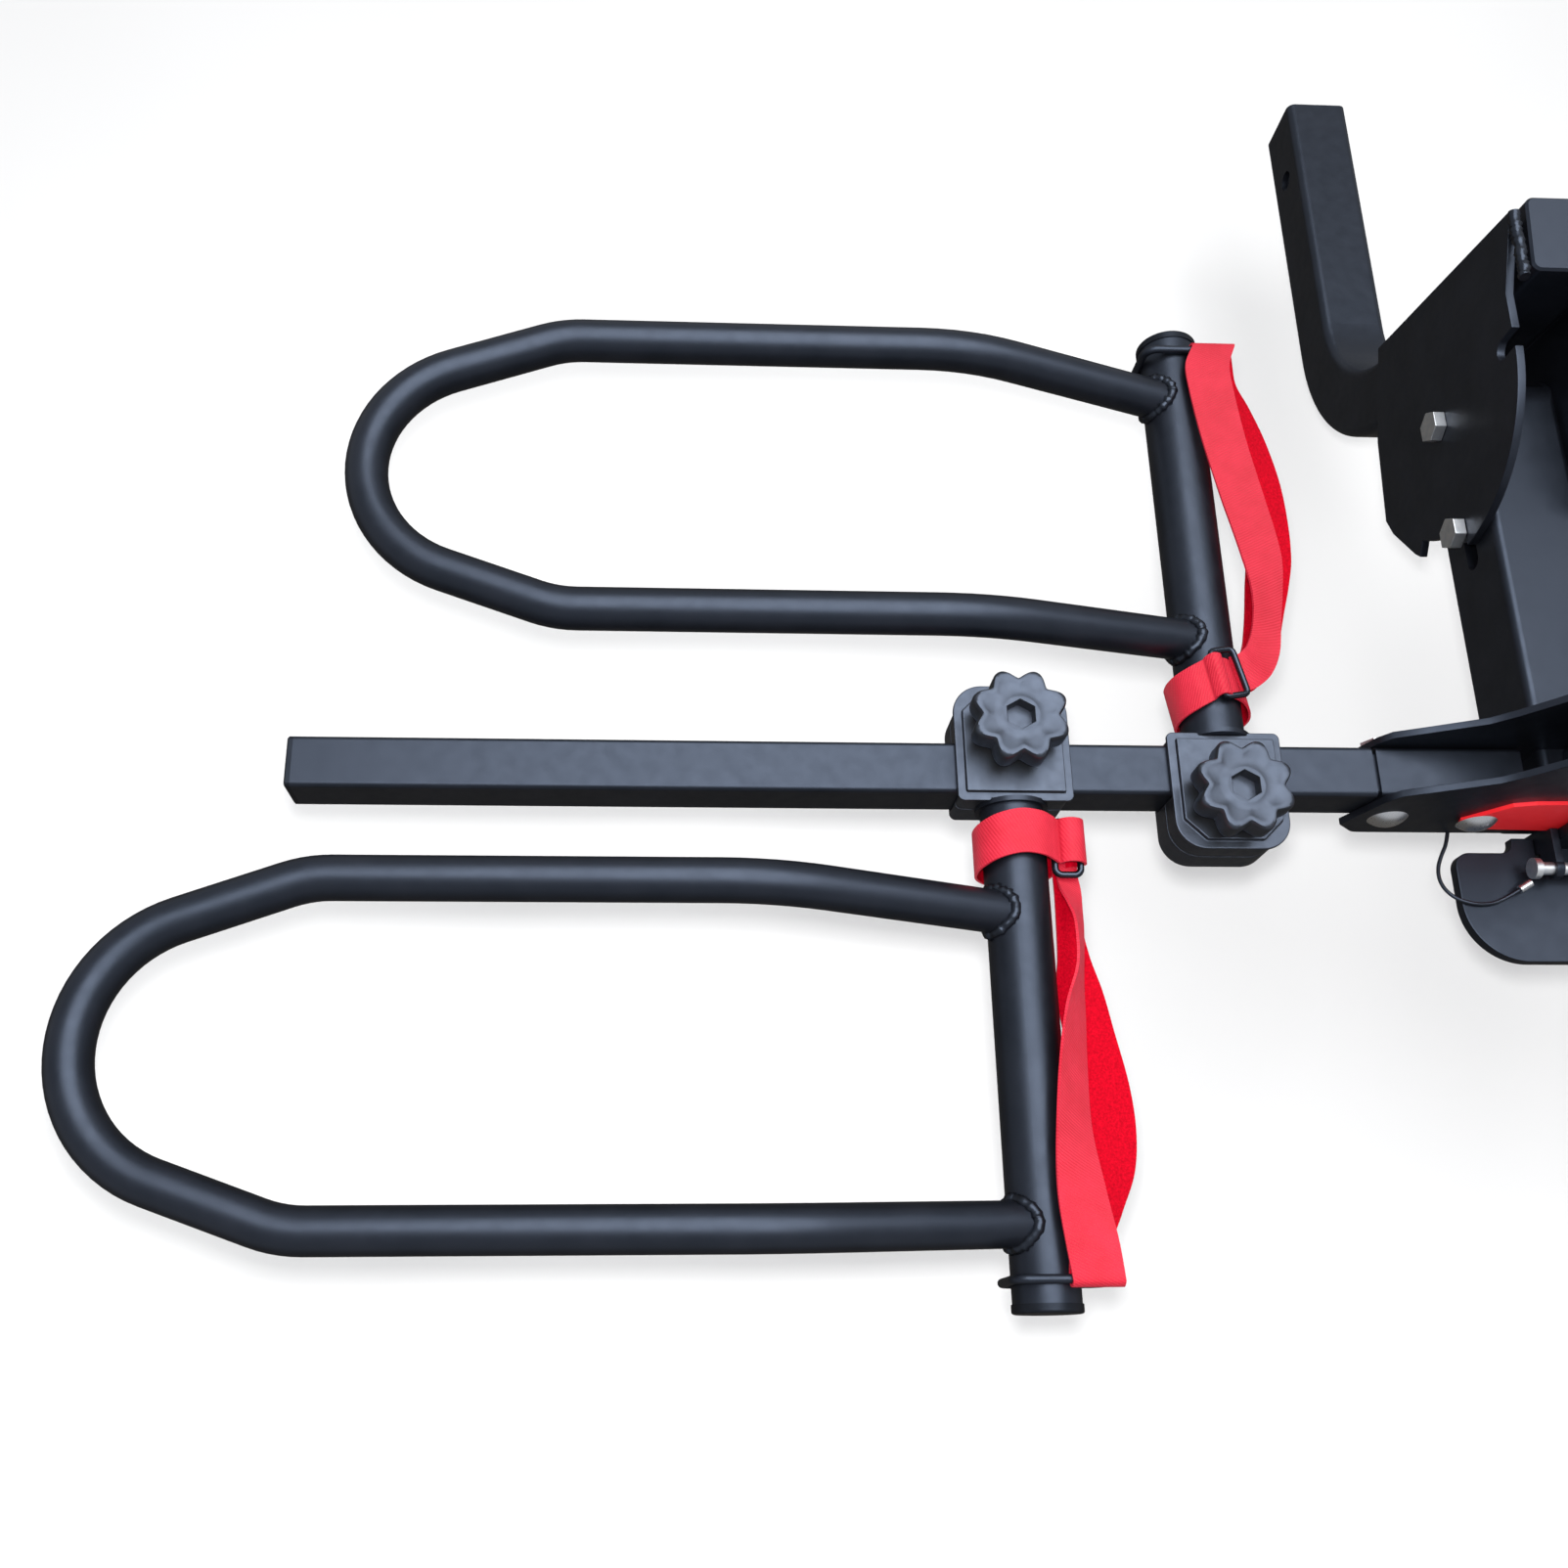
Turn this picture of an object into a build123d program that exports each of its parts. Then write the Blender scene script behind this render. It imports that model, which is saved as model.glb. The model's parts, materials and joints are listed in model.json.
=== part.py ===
from build123d import *
import os
from math import cos, radians, sin, tan

# Hitch bike rack: a platform that holds two bicycles by their wheels.
# The model is drawn about the beam line, where the cross beams meet the middle of the rack:
# +X runs along the right beam, +Y points at the vehicle and +Z is up.
# When a piece is saved it is carried to the row frame, whose origin is the hitch pin hole.

# Hitch side: a square shank that bends up into a leaning riser
SHANK = 50.8
SHANK_WALL = 5.0
SHANK_CORNER = 6.0
HITCH_PIN_R = 8.1
PIN_TO_SHANK_END = 60.0
PIN_TO_BEAM = 640.0
SHANK_DROP = 190.4
BEND_INNER_R = 90.0
RISER_FOOT_Y = 355.6
RISER_LEAN = 8.0
RISER_TOP = 96.0
CAP_THICK = 3.5
PLUG_DEPTH = 14.0
PLUG_GAP = 0.15

# Tilt joint: two side plates, a pivot bolt and a sliding lock bolt
TILT_Y = 268.0
TILT_Z = -17.0
LOCK_RADIUS = 83.0
LOCK_TRAVEL = 20.0
TILT_DOWN = 30.0
PLATE_RIM_R = 96.0
PLATE_POCKET_GAP = 0.7
POCKET_SPARE_TURN = 6.0
PLATE_CREST_Y = 299.0
PLATE_CREST_RISE = 1.0
PLATE_BACK_TOP = (346.0, 100.0)
PLATE_CHIN_R = (90.0, 87.0)
PLATE_CHIN_TURN = (28.0, 41.0)
PLATE_FOOT = ((233.0, -98.0), (248.0, -105.0), (311.0, -98.0), (377.0, -75.0))
TILT_PLATE = 5.5
WELD_PAD_LENGTH = 165.0
WELD_PAD_BACK_DROP = 12.0
WELD_PAD_FRONT_DROP = 30.0
BOLT_R = 6.0
BOLT_HEAD_AF = 19.0
BOLT_HEAD = 8.0
BOLT_NUT = 10.0
RUNNING_GAP = 0.05
SLIDING_GAP = 0.3
SLOT_GAP = 0.5
BUSH_WALL = 4.0

# Spine tube that carries the bracket
SPINE = 60.0
SPINE_WALL = 4.0
SPINE_CORNER = 5.0

# Bracket: a front and a back plate that hold the beams and the mast
BEAM = 32.0
BEAM_WALL = 2.5
BEAM_CORNER = 3.0
PLATE = 4.5
PLATE_GAP = 0.5
PLATE_HALF = 145.0
PLATE_BOTTOM = -34.0
PLATE_TOP = 116.0
PLATE_END_CUT = 13.0
PLATE_SHOULDER = ((12.0, 18.0), (18.0, 27.0))
PLATE_SLOPE = ((109.0, 35.0), (79.0, 49.0), (68.0, 60.0), (54.0, 77.0), (34.0, 104.0))
PLATE_CROWN_HALF = 24.0
PLATE_CORNER_R = 8.0
BEAM_END = 779.0
BEAM_START = 136.0
SLEEVE_START = 44.0
SLEEVE_END = 133.5
TONGUE_END = 210.0
CARRIAGE_R = 5.0
CARRIAGE_DOME_R = 12.0
CARRIAGE_DOME = 5.0
CARRIAGE_NUT_AF = 17.0
CARRIAGE_NUT = 8.0
BEAM_BOLTS_X = (64.5, 120.0)
BEAM_BOLT_Z = -9.0
MAST_BOLTS_Z = (52.0, 98.0)
BAND_THICK = 2.5
BAND_HALF_HEIGHT = 22.3
BAND_END_R = 10.5

# Mast with two sliding hook arms
MAST_TOP = 900.0
HOOKS = (("upper_hook", 1, 760.0), ("lower_hook", -1, 560.0))
HOOK_COLLAR = 52.0
HOOK_COLLAR_HEIGHT = 44.0
HOOK_REACH = 176.0
HOOK_ROD_R = 8.0
HOOK_BEND_R = 22.4
HOOK_SUNK = 3.0
HOOK_DROP = 46.0
HOOK_GRIP = 34.0
PAD_WALL = 4.0

# Foot pedal, its hinge ears, the release rod, the safety pin and its lanyard
PEDAL_THICK = 8.0
PEDAL_TOP = -33.0
PEDAL_HALF = 68.5
PEDAL_BACK = -34.3
PEDAL_FRONT = -105.0
PEDAL_NECK_HALF = 30.0
PEDAL_NECK_END = -24.5
PEDAL_NECK_R = 8.0
PEDAL_CORNER_R = 10.0
PEDAL_SWEEP_R = 38.0
PEDAL_PIN_Y = -28.0
PEDAL_PIN_Z = -50.0
PEDAL_PIN_R = 4.0
ARM_HALF = 10.0
ARM_THICK = 7.0
EAR_THICK = 5.0
EAR_R = 7.0
EAR_ARM_TOP = -14.0
EAR_ARM_LOW = -27.0
EAR_ARM_R = 6.5
EAR_HOLLOW = ((-36.0, -30.0), (-35.0, -38.0))
ROD_R = 4.0
ROD_Z = 2.0
ROD_STRAIGHT = 50.0
ROD_RISE_END = 85.0
ROD_BEND_R = 30.0
ROD_HEAD_R = 7.0
ROD_HEAD = 6.0
ROD_PLAY = 3.0
SAFETY_PIN_R = 4.0
SAFETY_PIN_Y = -49.0
SAFETY_PIN_Z = -20.0
SAFETY_HEAD_R = 6.5
SAFETY_HEAD = 4.0
LANYARD_R = 1.2
FERRULE_R = 2.6
FERRULE = 8.0
LANYARD_ROUTE = (
    (-33.5, -60.3, -27.7), (-44.0, -66.5, -30.6), (-54.0, -69.0, -31.2), (-64.5, -68.4, -31.0),
    (-74.0, -64.0, -32.6), (-79.0, -55.0, -35.4), (-79.0, -44.5, -36.0), (-75.0, -36.0, -34.0),
    (-70.0, -30.0, -30.0),
)

# Wheel carriers: clamp block, knob, post with a tube hoop, strap
LEFT_POSTS = {"front": 356.0, "rear": 228.0}
BLOCK_HALF = 33.0
BLOCK_POST_SIDE = -21.0
BLOCK_KNOB_SIDE = 50.0
BLOCK_BOTTOM = -19.0
BLOCK_CORNER_R = 18.0
BLOCK_SMALL_R = 4.0
RIM_THICK = 3.0
RIM_OUT = 1.5
LID_THICK = 3.0
LID_INSET = 3.5
SEAM = 0.8
KNOB_Y = 21.5
KNOB_R = 29.5
KNOB_LOBES = 8
KNOB_LOBE_R = 7.5
KNOB_BODY = 17.0
KNOB_HUB_R = 13.0
KNOB_HUB = 7.0
KNOB_STEM_R = 4.0
KNOB_STEM = 30.0
KNOB_HEX_AF = 16.0
KNOB_HEX_DEPTH = 9.0
POST_R = 18.75
POST_WALL = 2.5
POST_Z = 3.5
POST_END = 306.0
POST_FOOT_R = 21.5
POST_FOOT = 3.0
POST_CAP = 5.0
POST_CAP_R = 19.4
RAIL_R = 12.7
RAIL_WALL = 2.0
RAIL_Z = 50.0
RAIL_NEAR = 83.0
RAIL_SPACING = 187.0
RAIL_PINCH = 6.0
RAIL_FOOT_Z = 6.6
RAIL_DROP_END = 145.0
RAIL_DROP_R = 210.0
RAIL_TAPER = 20.0
RAIL_TAPER_R = 70.0
HOOP_CENTRE = 440.0
HOOP_R = 73.7
KEEPER_Y = 294.0
KEEPER_WIRE_R = 2.5
KEEPER_OUT = 50.0
KEEPER_CORNER_R = 8.0
STRAP = 2.2
STRAP_WIDTH = 27.0
STRAP_GAP = 0.3
COLLAR_Y = 50.0
BUCKLE_WIRE_R = 2.0
BUCKLE_X = 21.1
BUCKLE_WIDTH = 15.0
BUCKLE_LENGTH = 33.0
BUCKLE_Z = 14.0
LOOP_START_Y = 73.9
LOOP_START_R = 4.0
LOOP_START_X = 30.0
LOOP_END_R = 4.2
LOOP_BULGE = 62.0
LOOP_BULGE_Y = 195.0

PLATE_IN = BEAM / 2 + PLATE_GAP
PLATE_OUT = PLATE_IN + PLATE
SPINE_TOP = TILT_Z + SPINE / 2
TILT_PLATE_IN = SPINE / 2 + SLIDING_GAP
TILT_PLATE_OUT = TILT_PLATE_IN + TILT_PLATE
LOCK_Y = TILT_Y - LOCK_RADIUS
CHANNEL = BEAM / 2 + SLIDING_GAP
LID_BASE = CHANNEL + 0.2
BLOCK_TOP = LID_BASE + RIM_THICK + LID_THICK
RIGHT = Vector(1, 0, 0)
AWAY = Vector(0, 1, 0)
UP = Vector(0, 0, 1)


def looking(normal, origin=(0, 0, 0)):
    """A sketch plane with its normal along X, Y or Z and readable in-plane axes."""
    across = AWAY if abs(normal.X) > 0.5 else RIGHT
    return Plane(origin=origin, x_dir=across, z_dir=normal)


def rod(start, direction, radius, length):
    """A round bar from start along a direction."""
    across = AWAY if abs(direction.X) > 0.5 else RIGHT
    return extrude(Plane(origin=start, x_dir=across, z_dir=direction) * Circle(radius), amount=length)


def hexagon(start, direction, across_flats, length):
    """A hexagonal prism from start along a direction."""
    across = AWAY if abs(direction.X) > 0.5 else RIGHT
    face = RegularPolygon(across_flats / 2, 6, major_radius=False)
    return extrude(Plane(origin=start, x_dir=across, z_dir=direction) * face, amount=length)


def tube_section(size, wall, corner):
    """Square tube outline with its bore."""
    bore = size - 2 * wall
    return RectangleRounded(size, size, corner) - RectangleRounded(bore, bore, max(corner - wall, 1.0))


def tube(start, direction, length, size, wall, corner):
    """A straight square tube."""
    return extrude(looking(direction, start) * tube_section(size, wall, corner), amount=length)


def plug(start, direction, size, wall, corner):
    """An end plug: a flat cap with a square spigot that presses into the tube."""
    bore = size - 2 * wall - 2 * PLUG_GAP
    cap = extrude(looking(direction, start) * RectangleRounded(size, size, corner), amount=CAP_THICK)
    cap = chamfer(cap.faces().sort_by(Axis(start, direction))[-1].edges(), 1.0)
    spigot = looking(direction, start) * RectangleRounded(bore, bore, max(corner - wall, 1.0))
    return cap + extrude(spigot, amount=-PLUG_DEPTH)


def pipe(path, radius):
    """A round section swept along a path."""
    line = Wire(path.edges()) if not isinstance(path, Wire) else path
    start = Plane(origin=line @ 0, z_dir=line % 0)
    return sweep(start * Circle(radius), path=line)


def polar(radius, degrees_below):
    """A point at a radius from the tilt pivot, turned down from the horizontal towards the beams."""
    turn = radians(degrees_below)
    return (TILT_Y - radius * cos(turn), TILT_Z - radius * sin(turn))


def riser_plane():
    """The plane on the riser's top end, square to its leaning axis."""
    bend_r = BEND_INNER_R + SHANK / 2
    turn = radians(90 - RISER_LEAN)
    bend_y = RISER_FOOT_Y + bend_r
    foot = Vector(0, bend_y - bend_r * sin(turn), -SHANK_DROP + bend_r * (1 - cos(turn)))
    lean = Vector(0, -cos(turn), sin(turn))
    length = (RISER_TOP - foot.Z) / lean.Z
    return Plane(origin=foot + lean * length, x_dir=RIGHT, z_dir=lean), foot, bend_y, bend_r


def hitch_shank():
    """Square shank, bent up into the riser, with the cross hole for the hitch pin."""
    top, foot, bend_y, bend_r = riser_plane()
    end_y = PIN_TO_BEAM + PIN_TO_SHANK_END
    middle_turn = radians((90 - RISER_LEAN) / 2)
    middle = (0, bend_y - bend_r * sin(middle_turn), -SHANK_DROP + bend_r * (1 - cos(middle_turn)))
    line = Wire([
        Edge.make_line((0, end_y, -SHANK_DROP), (0, bend_y, -SHANK_DROP)),
        Edge.make_three_point_arc((0, bend_y, -SHANK_DROP), middle, foot),
        Edge.make_line(foot, top.origin),
    ])
    start = Plane(origin=(0, end_y, -SHANK_DROP), x_dir=RIGHT, z_dir=-AWAY)
    bore = SHANK - 2 * SHANK_WALL
    outside = sweep(start * RectangleRounded(SHANK, SHANK, SHANK_CORNER), path=line)
    inside = sweep(start * RectangleRounded(bore, bore, SHANK_CORNER - SHANK_WALL), path=line)
    pin_hole = rod((-SHANK, PIN_TO_BEAM, -SHANK_DROP), RIGHT, HITCH_PIN_R, 2 * SHANK)
    return outside - inside - pin_hole


def riser_cap():
    """Plastic cap on the riser."""
    top = riser_plane()[0]
    bore = SHANK - 2 * SHANK_WALL - 2 * PLUG_GAP
    cap = extrude(top * RectangleRounded(SHANK, SHANK, SHANK_CORNER), amount=CAP_THICK)
    cap = chamfer(cap.faces().sort_by(Axis(top.origin, top.z_dir))[-1].edges(), 1.5)
    return cap + extrude(top * RectangleRounded(bore, bore, 1.0), amount=-PLUG_DEPTH)


def tilt_plate(side):
    """Side plate: pivot hole, lock notch, storage notch and the pocket that lets the rack tilt down."""
    top = (TILT_Y, TILT_Z + PLATE_RIM_R)
    front = (TILT_Y - PLATE_RIM_R, TILT_Z)
    middle = polar(PLATE_RIM_R, -45)
    chin = [polar(radius, turn) for radius, turn in zip(PLATE_CHIN_R, PLATE_CHIN_TURN)]
    outline = [
        Polyline(PLATE_BACK_TOP, (PLATE_CREST_Y, TILT_Z + PLATE_RIM_R + PLATE_CREST_RISE), top),
        ThreePointArc(top, middle, front),
        Polyline(front, *chin, *PLATE_FOOT, PLATE_BACK_TOP),
    ]
    face = make_face(Curve() + outline)
    slot = BOLT_R + SLOT_GAP
    lock = Pos(LOCK_Y, TILT_Z) * Circle(slot)
    lock += Pos(LOCK_Y - LOCK_TRAVEL, TILT_Z) * Rectangle(2 * LOCK_TRAVEL, 2 * slot)
    store = Pos(TILT_Y, TILT_Z + LOCK_RADIUS) * Circle(slot)
    store += Pos(TILT_Y, TILT_Z + LOCK_RADIUS + LOCK_TRAVEL) * Rectangle(2 * slot, 2 * LOCK_TRAVEL)
    pocket_r = LOCK_RADIUS - BOLT_R - PLATE_POCKET_GAP
    reach = 2 * PLATE_RIM_R
    swing = TILT_DOWN + POCKET_SPARE_TURN
    sector = make_face(Polyline((TILT_Y, TILT_Z), polar(reach, 0), polar(reach, swing), (TILT_Y, TILT_Z)))
    pocket = sector - Pos(TILT_Y, TILT_Z) * Circle(pocket_r)
    face = face - lock - store - pocket - Pos(TILT_Y, TILT_Z) * Circle(BOLT_R + RUNNING_GAP)
    inner = TILT_PLATE_IN if side > 0 else -TILT_PLATE_OUT
    sheet = extrude(Plane(origin=(inner, 0, 0), x_dir=AWAY, z_dir=RIGHT) * face, amount=TILT_PLATE)
    return sheet + weld_pad(side)


def weld_pad(side):
    """Packing strip that fills the space between a tilt plate and the narrower riser."""
    top, foot = riser_plane()[:2]
    lean = top.z_dir
    low = top.origin - lean * WELD_PAD_LENGTH
    across = Vector(0, lean.Z, -lean.Y)
    half = SHANK / 2 - SHANK_CORNER
    corners = [low - across * half, low + across * half,
               top.origin - lean * WELD_PAD_BACK_DROP + across * half,
               top.origin - lean * WELD_PAD_FRONT_DROP - across * half]
    face = make_face(Polyline(*[(c.Y, c.Z) for c in corners], (corners[0].Y, corners[0].Z)))
    start = SHANK / 2 if side > 0 else -TILT_PLATE_IN
    return extrude(Plane(origin=(start, 0, 0), x_dir=AWAY, z_dir=RIGHT) * face,
                   amount=TILT_PLATE_IN - SHANK / 2)


def cross_bolt(y, z, head_x):
    """A hex bolt across the rack with its nut on the far side."""
    shank = rod((-head_x, y, z), RIGHT, BOLT_R, 2 * head_x)
    head = hexagon((-head_x, y, z), -RIGHT, BOLT_HEAD_AF, BOLT_HEAD)
    nut = hexagon((head_x, y, z), RIGHT, BOLT_HEAD_AF, BOLT_NUT)
    return shank + head + nut


def spine_tube():
    """Spine with a round rear end about the pivot and a slot in each side for the lock bolt."""
    front = -PLATE_IN
    body = tube((0, front, TILT_Z), AWAY, TILT_Y + SPINE / 2 - front, SPINE, SPINE_WALL, SPINE_CORNER)
    side = looking(RIGHT, (-SPINE, 0, 0))
    length = TILT_Y - front
    keep = Pos(front + length / 2, TILT_Z) * Rectangle(length, SPINE)
    keep += Pos(TILT_Y, TILT_Z) * Circle(SPINE / 2)
    body = body & extrude(side * keep, amount=2 * SPINE)
    slot = Pos(LOCK_Y - LOCK_TRAVEL / 2, TILT_Z) * SlotCenterToCenter(LOCK_TRAVEL, 2 * (BOLT_R + SLOT_GAP))
    body -= extrude(side * slot, amount=2 * SPINE)
    bore = SPINE / 2 - SPINE_WALL / 2
    bush = rod((-bore, TILT_Y, TILT_Z), RIGHT, BOLT_R + BUSH_WALL, 2 * bore)
    return body + bush - rod((-SPINE, TILT_Y, TILT_Z), RIGHT, BOLT_R + RUNNING_GAP, 2 * SPINE)


def bracket_face():
    """Outline of the bracket plates: straight bottom, raised middle for the mast."""
    half = [(PLATE_HALF - PLATE_END_CUT, PLATE_BOTTOM), (PLATE_HALF, PLATE_BOTTOM + PLATE_END_CUT)]
    half += [(PLATE_HALF - inset, z) for inset, z in PLATE_SHOULDER]
    half += [*PLATE_SLOPE, (PLATE_CROWN_HALF, PLATE_TOP)]
    points = half + [(-x, z) for x, z in reversed(half)]
    face = make_face(Polyline(*points, points[0]))
    corners = face.vertices().group_by(Axis.Y)
    return fillet(corners[0] + corners[-1], PLATE_CORNER_R)


def bolt_places():
    """Where the carriage bolts cross the bracket: two in each beam and two in the mast."""
    beams = [(side * x, BEAM_BOLT_Z) for side in (-1, 1) for x in BEAM_BOLTS_X]
    return beams + [(0, z) for z in MAST_BOLTS_Z]


def bolt_holes():
    """Clearance holes for all carriage bolts, along Y."""
    holes = [rod((x, -3 * PLATE_OUT, z), AWAY, CARRIAGE_R + RUNNING_GAP, 6 * PLATE_OUT)
             for x, z in bolt_places()]
    return Part() + holes


def rod_hole():
    """Hole that the release rod passes through."""
    return rod((0, -3 * PLATE_OUT, ROD_Z), AWAY, ROD_R + 1, 3 * PLATE_OUT)


def bracket_plate(front):
    """One bracket plate; the back one is cut out for the spine."""
    start = -PLATE_OUT if front else PLATE_IN
    sheet = extrude(looking(AWAY, (0, start, 0)) * mirror(bracket_face(), about=Plane.XZ), amount=PLATE)
    sheet -= bolt_holes()
    if front:
        return sheet - rod_hole()
    gap = SPINE + 2 * PLUG_GAP
    window = Box(gap, 3 * PLATE, gap, align=(Align.CENTER, Align.CENTER, Align.MAX))
    return sheet - Pos(0, PLATE_IN + PLATE / 2, SPINE_TOP + PLUG_GAP) * window


def beam_sleeves():
    """The short square sleeves between the plates that the beam tongues sit in."""
    parts = []
    for side in (-1, 1):
        start = side * SLEEVE_START if side > 0 else -SLEEVE_END
        parts.append(tube((start, 0, 0), RIGHT, SLEEVE_END - SLEEVE_START, BEAM, BEAM_WALL, BEAM_CORNER)
                     - bolt_holes())
    return Compound(children=parts)


def beam_tongues():
    """Inner square tubes that join each sleeve to its beam."""
    size = BEAM - 2 * BEAM_WALL - 2 * PLUG_GAP
    parts = []
    for side in (-1, 1):
        start = SLEEVE_START if side > 0 else -TONGUE_END
        parts.append(tube((start, 0, 0), RIGHT, TONGUE_END - SLEEVE_START, size, 3.0, 2.0) - bolt_holes())
    return Compound(children=parts)


def beam(side):
    """Square cross beam that two wheel carriers slide on."""
    start = BEAM_START if side > 0 else -BEAM_END
    return tube((start, 0, 0), RIGHT, BEAM_END - BEAM_START, BEAM, BEAM_WALL, BEAM_CORNER)


def tube_plugs():
    """End plugs of the two beams and the mast."""
    ends = [((-BEAM_END, 0, 0), -RIGHT), ((BEAM_END, 0, 0), RIGHT), ((0, 0, MAST_TOP), UP)]
    return Compound(children=[plug(at, way, BEAM, BEAM_WALL, BEAM_CORNER) for at, way in ends])


def carriage_bolts():
    """Domed bolts from the front, with nuts behind the back plate."""
    parts = []
    for x, z in bolt_places():
        front = -PLATE_OUT - (BAND_THICK if abs(x) < SLEEVE_END - BEAM / 2 and z < BEAM / 2 else 0)
        dome_r = (CARRIAGE_DOME_R ** 2 + CARRIAGE_DOME ** 2) / (2 * CARRIAGE_DOME)
        ball = Pos(x, front - CARRIAGE_DOME + dome_r, z) * Sphere(dome_r)
        dome = ball & rod((x, front - CARRIAGE_DOME, z), AWAY, CARRIAGE_DOME_R, CARRIAGE_DOME)
        stem = rod((x, front, z), AWAY, CARRIAGE_R, PLATE_OUT - front + CARRIAGE_NUT)
        nut = hexagon((x, PLATE_OUT, z), AWAY, CARRIAGE_NUT_AF, CARRIAGE_NUT)
        parts.append(dome + stem + nut)
    return Compound(children=parts)


def front_band():
    """Painted band across the front plate, held by the inner beam bolts."""
    bolt_x = BEAM_BOLTS_X[0]
    top = BAND_HALF_HEIGHT
    low = BEAM_BOLT_Z - BAND_END_R
    tip = bolt_x + BAND_END_R
    half = [(bolt_x, low), (tip - 2, BEAM_BOLT_Z - 5), (tip, BEAM_BOLT_Z + 2), (bolt_x - 1, 8),
            (bolt_x - 9, top - 4), (bolt_x - 22, top - 0.5), (25, top)]
    points = half + [(-x, z) for x, z in reversed(half)]
    face = make_face(Polyline((0, -top), *points, (0, -top)))
    band = extrude(looking(AWAY, (0, -PLATE_OUT - BAND_THICK, 0)) * mirror(face, about=Plane.XZ),
                   amount=BAND_THICK)
    return band - bolt_holes() - rod_hole()


def mast_tube():
    """Upright square mast, bolted between the bracket plates above the spine."""
    foot = SPINE_TOP + 1
    mast = tube((0, 0, foot), UP, MAST_TOP - foot, BEAM, BEAM_WALL, BEAM_CORNER)
    return mast - bolt_holes()


def hook_path(row, height, start):
    """Centre line of a hook arm: out over the bicycle, then down and back under itself."""
    out = HOOK_REACH
    low = height - HOOK_DROP
    points = [(0, row * start, height), (0, row * out, height), (0, row * out, low),
              (0, row * (out - HOOK_GRIP), low - HOOK_GRIP)]
    return FilletPolyline(*points, radius=[HOOK_BEND_R, HOOK_BEND_R])


def hook_arm(row, height):
    """Sliding collar on the mast with its welded rod hook."""
    half = HOOK_COLLAR / 2
    base = height - HOOK_COLLAR_HEIGHT / 2
    collar = extrude(looking(UP, (0, 0, base)) * RectangleRounded(HOOK_COLLAR, HOOK_COLLAR, 6),
                     amount=HOOK_COLLAR_HEIGHT)
    hole = Box(2 * CHANNEL, 2 * CHANNEL, 2 * HOOK_COLLAR_HEIGHT)
    arm = pipe(hook_path(row, height, half - HOOK_SUNK), HOOK_ROD_R)
    stem_hole = rod((CHANNEL, 0, height), RIGHT, KNOB_STEM_R + RUNNING_GAP, half)
    return collar + arm - Pos(0, 0, height) * hole - stem_hole


def hook_pad(row, height):
    """Rubber sleeve over the hook's lower end."""
    path = Wire(hook_path(row, height, HOOK_COLLAR / 2).edges())
    cover = Wire(path.edges()[2:])
    return pipe(cover, HOOK_ROD_R + PAD_WALL) - pipe(cover, HOOK_ROD_R + RUNNING_GAP)


def star_knob(stem):
    """Lobed hand knob with a hub, a threaded stem and a hexagonal pocket, standing on the origin."""
    pitch = KNOB_R - KNOB_LOBE_R
    lobes = [Rot(0, 0, (i + 0.5) * 360 / KNOB_LOBES) * Pos(pitch, 0) * Circle(KNOB_LOBE_R)
             for i in range(KNOB_LOBES)]
    outline = Circle(pitch + 1.5) + lobes
    body = extrude(Plane.XY.offset(KNOB_HUB) * outline, amount=KNOB_BODY)
    body += extrude(Circle(KNOB_HUB_R), amount=KNOB_HUB)
    body += extrude(Circle(KNOB_STEM_R), amount=-stem)
    pocket = RegularPolygon(KNOB_HEX_AF / 2, 6, major_radius=False)
    top = Plane.XY.offset(KNOB_HUB + KNOB_BODY)
    return body - extrude(top * pocket, amount=-KNOB_HEX_DEPTH)


def block_outline(grow):
    """Plan of the clamp block, grown or shrunk: small corners by the post, large ones by the knob."""
    depth = BLOCK_KNOB_SIDE - BLOCK_POST_SIDE + 2 * grow
    middle = (BLOCK_KNOB_SIDE + BLOCK_POST_SIDE) / 2
    face = Pos(0, middle) * Rectangle(2 * (BLOCK_HALF + grow), depth)
    corners = face.vertices().group_by(Axis.Y)
    face = fillet(corners[-1], BLOCK_CORNER_R)
    return fillet(face.vertices().group_by(Axis.Y)[0], BLOCK_SMALL_R)


def clamp_block():
    """Lower clamp: a channel under the beam with a moulding seam round its walls."""
    outline = block_outline(0)
    body = extrude(Plane.XY.offset(BLOCK_BOTTOM) * outline, amount=LID_BASE - BLOCK_BOTTOM)
    channel = Box(3 * BLOCK_HALF, 2 * CHANNEL, 2 * CHANNEL + 4, align=(Align.CENTER, Align.CENTER, Align.MIN))
    seam = extrude(outline - block_outline(-SEAM), amount=SEAM)
    stem_hole = rod((0, KNOB_Y, BLOCK_BOTTOM + 4), UP, KNOB_STEM_R + RUNNING_GAP, 2 * BEAM)
    return body - Pos(0, 0, -CHANNEL) * channel - seam - stem_hole


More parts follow.
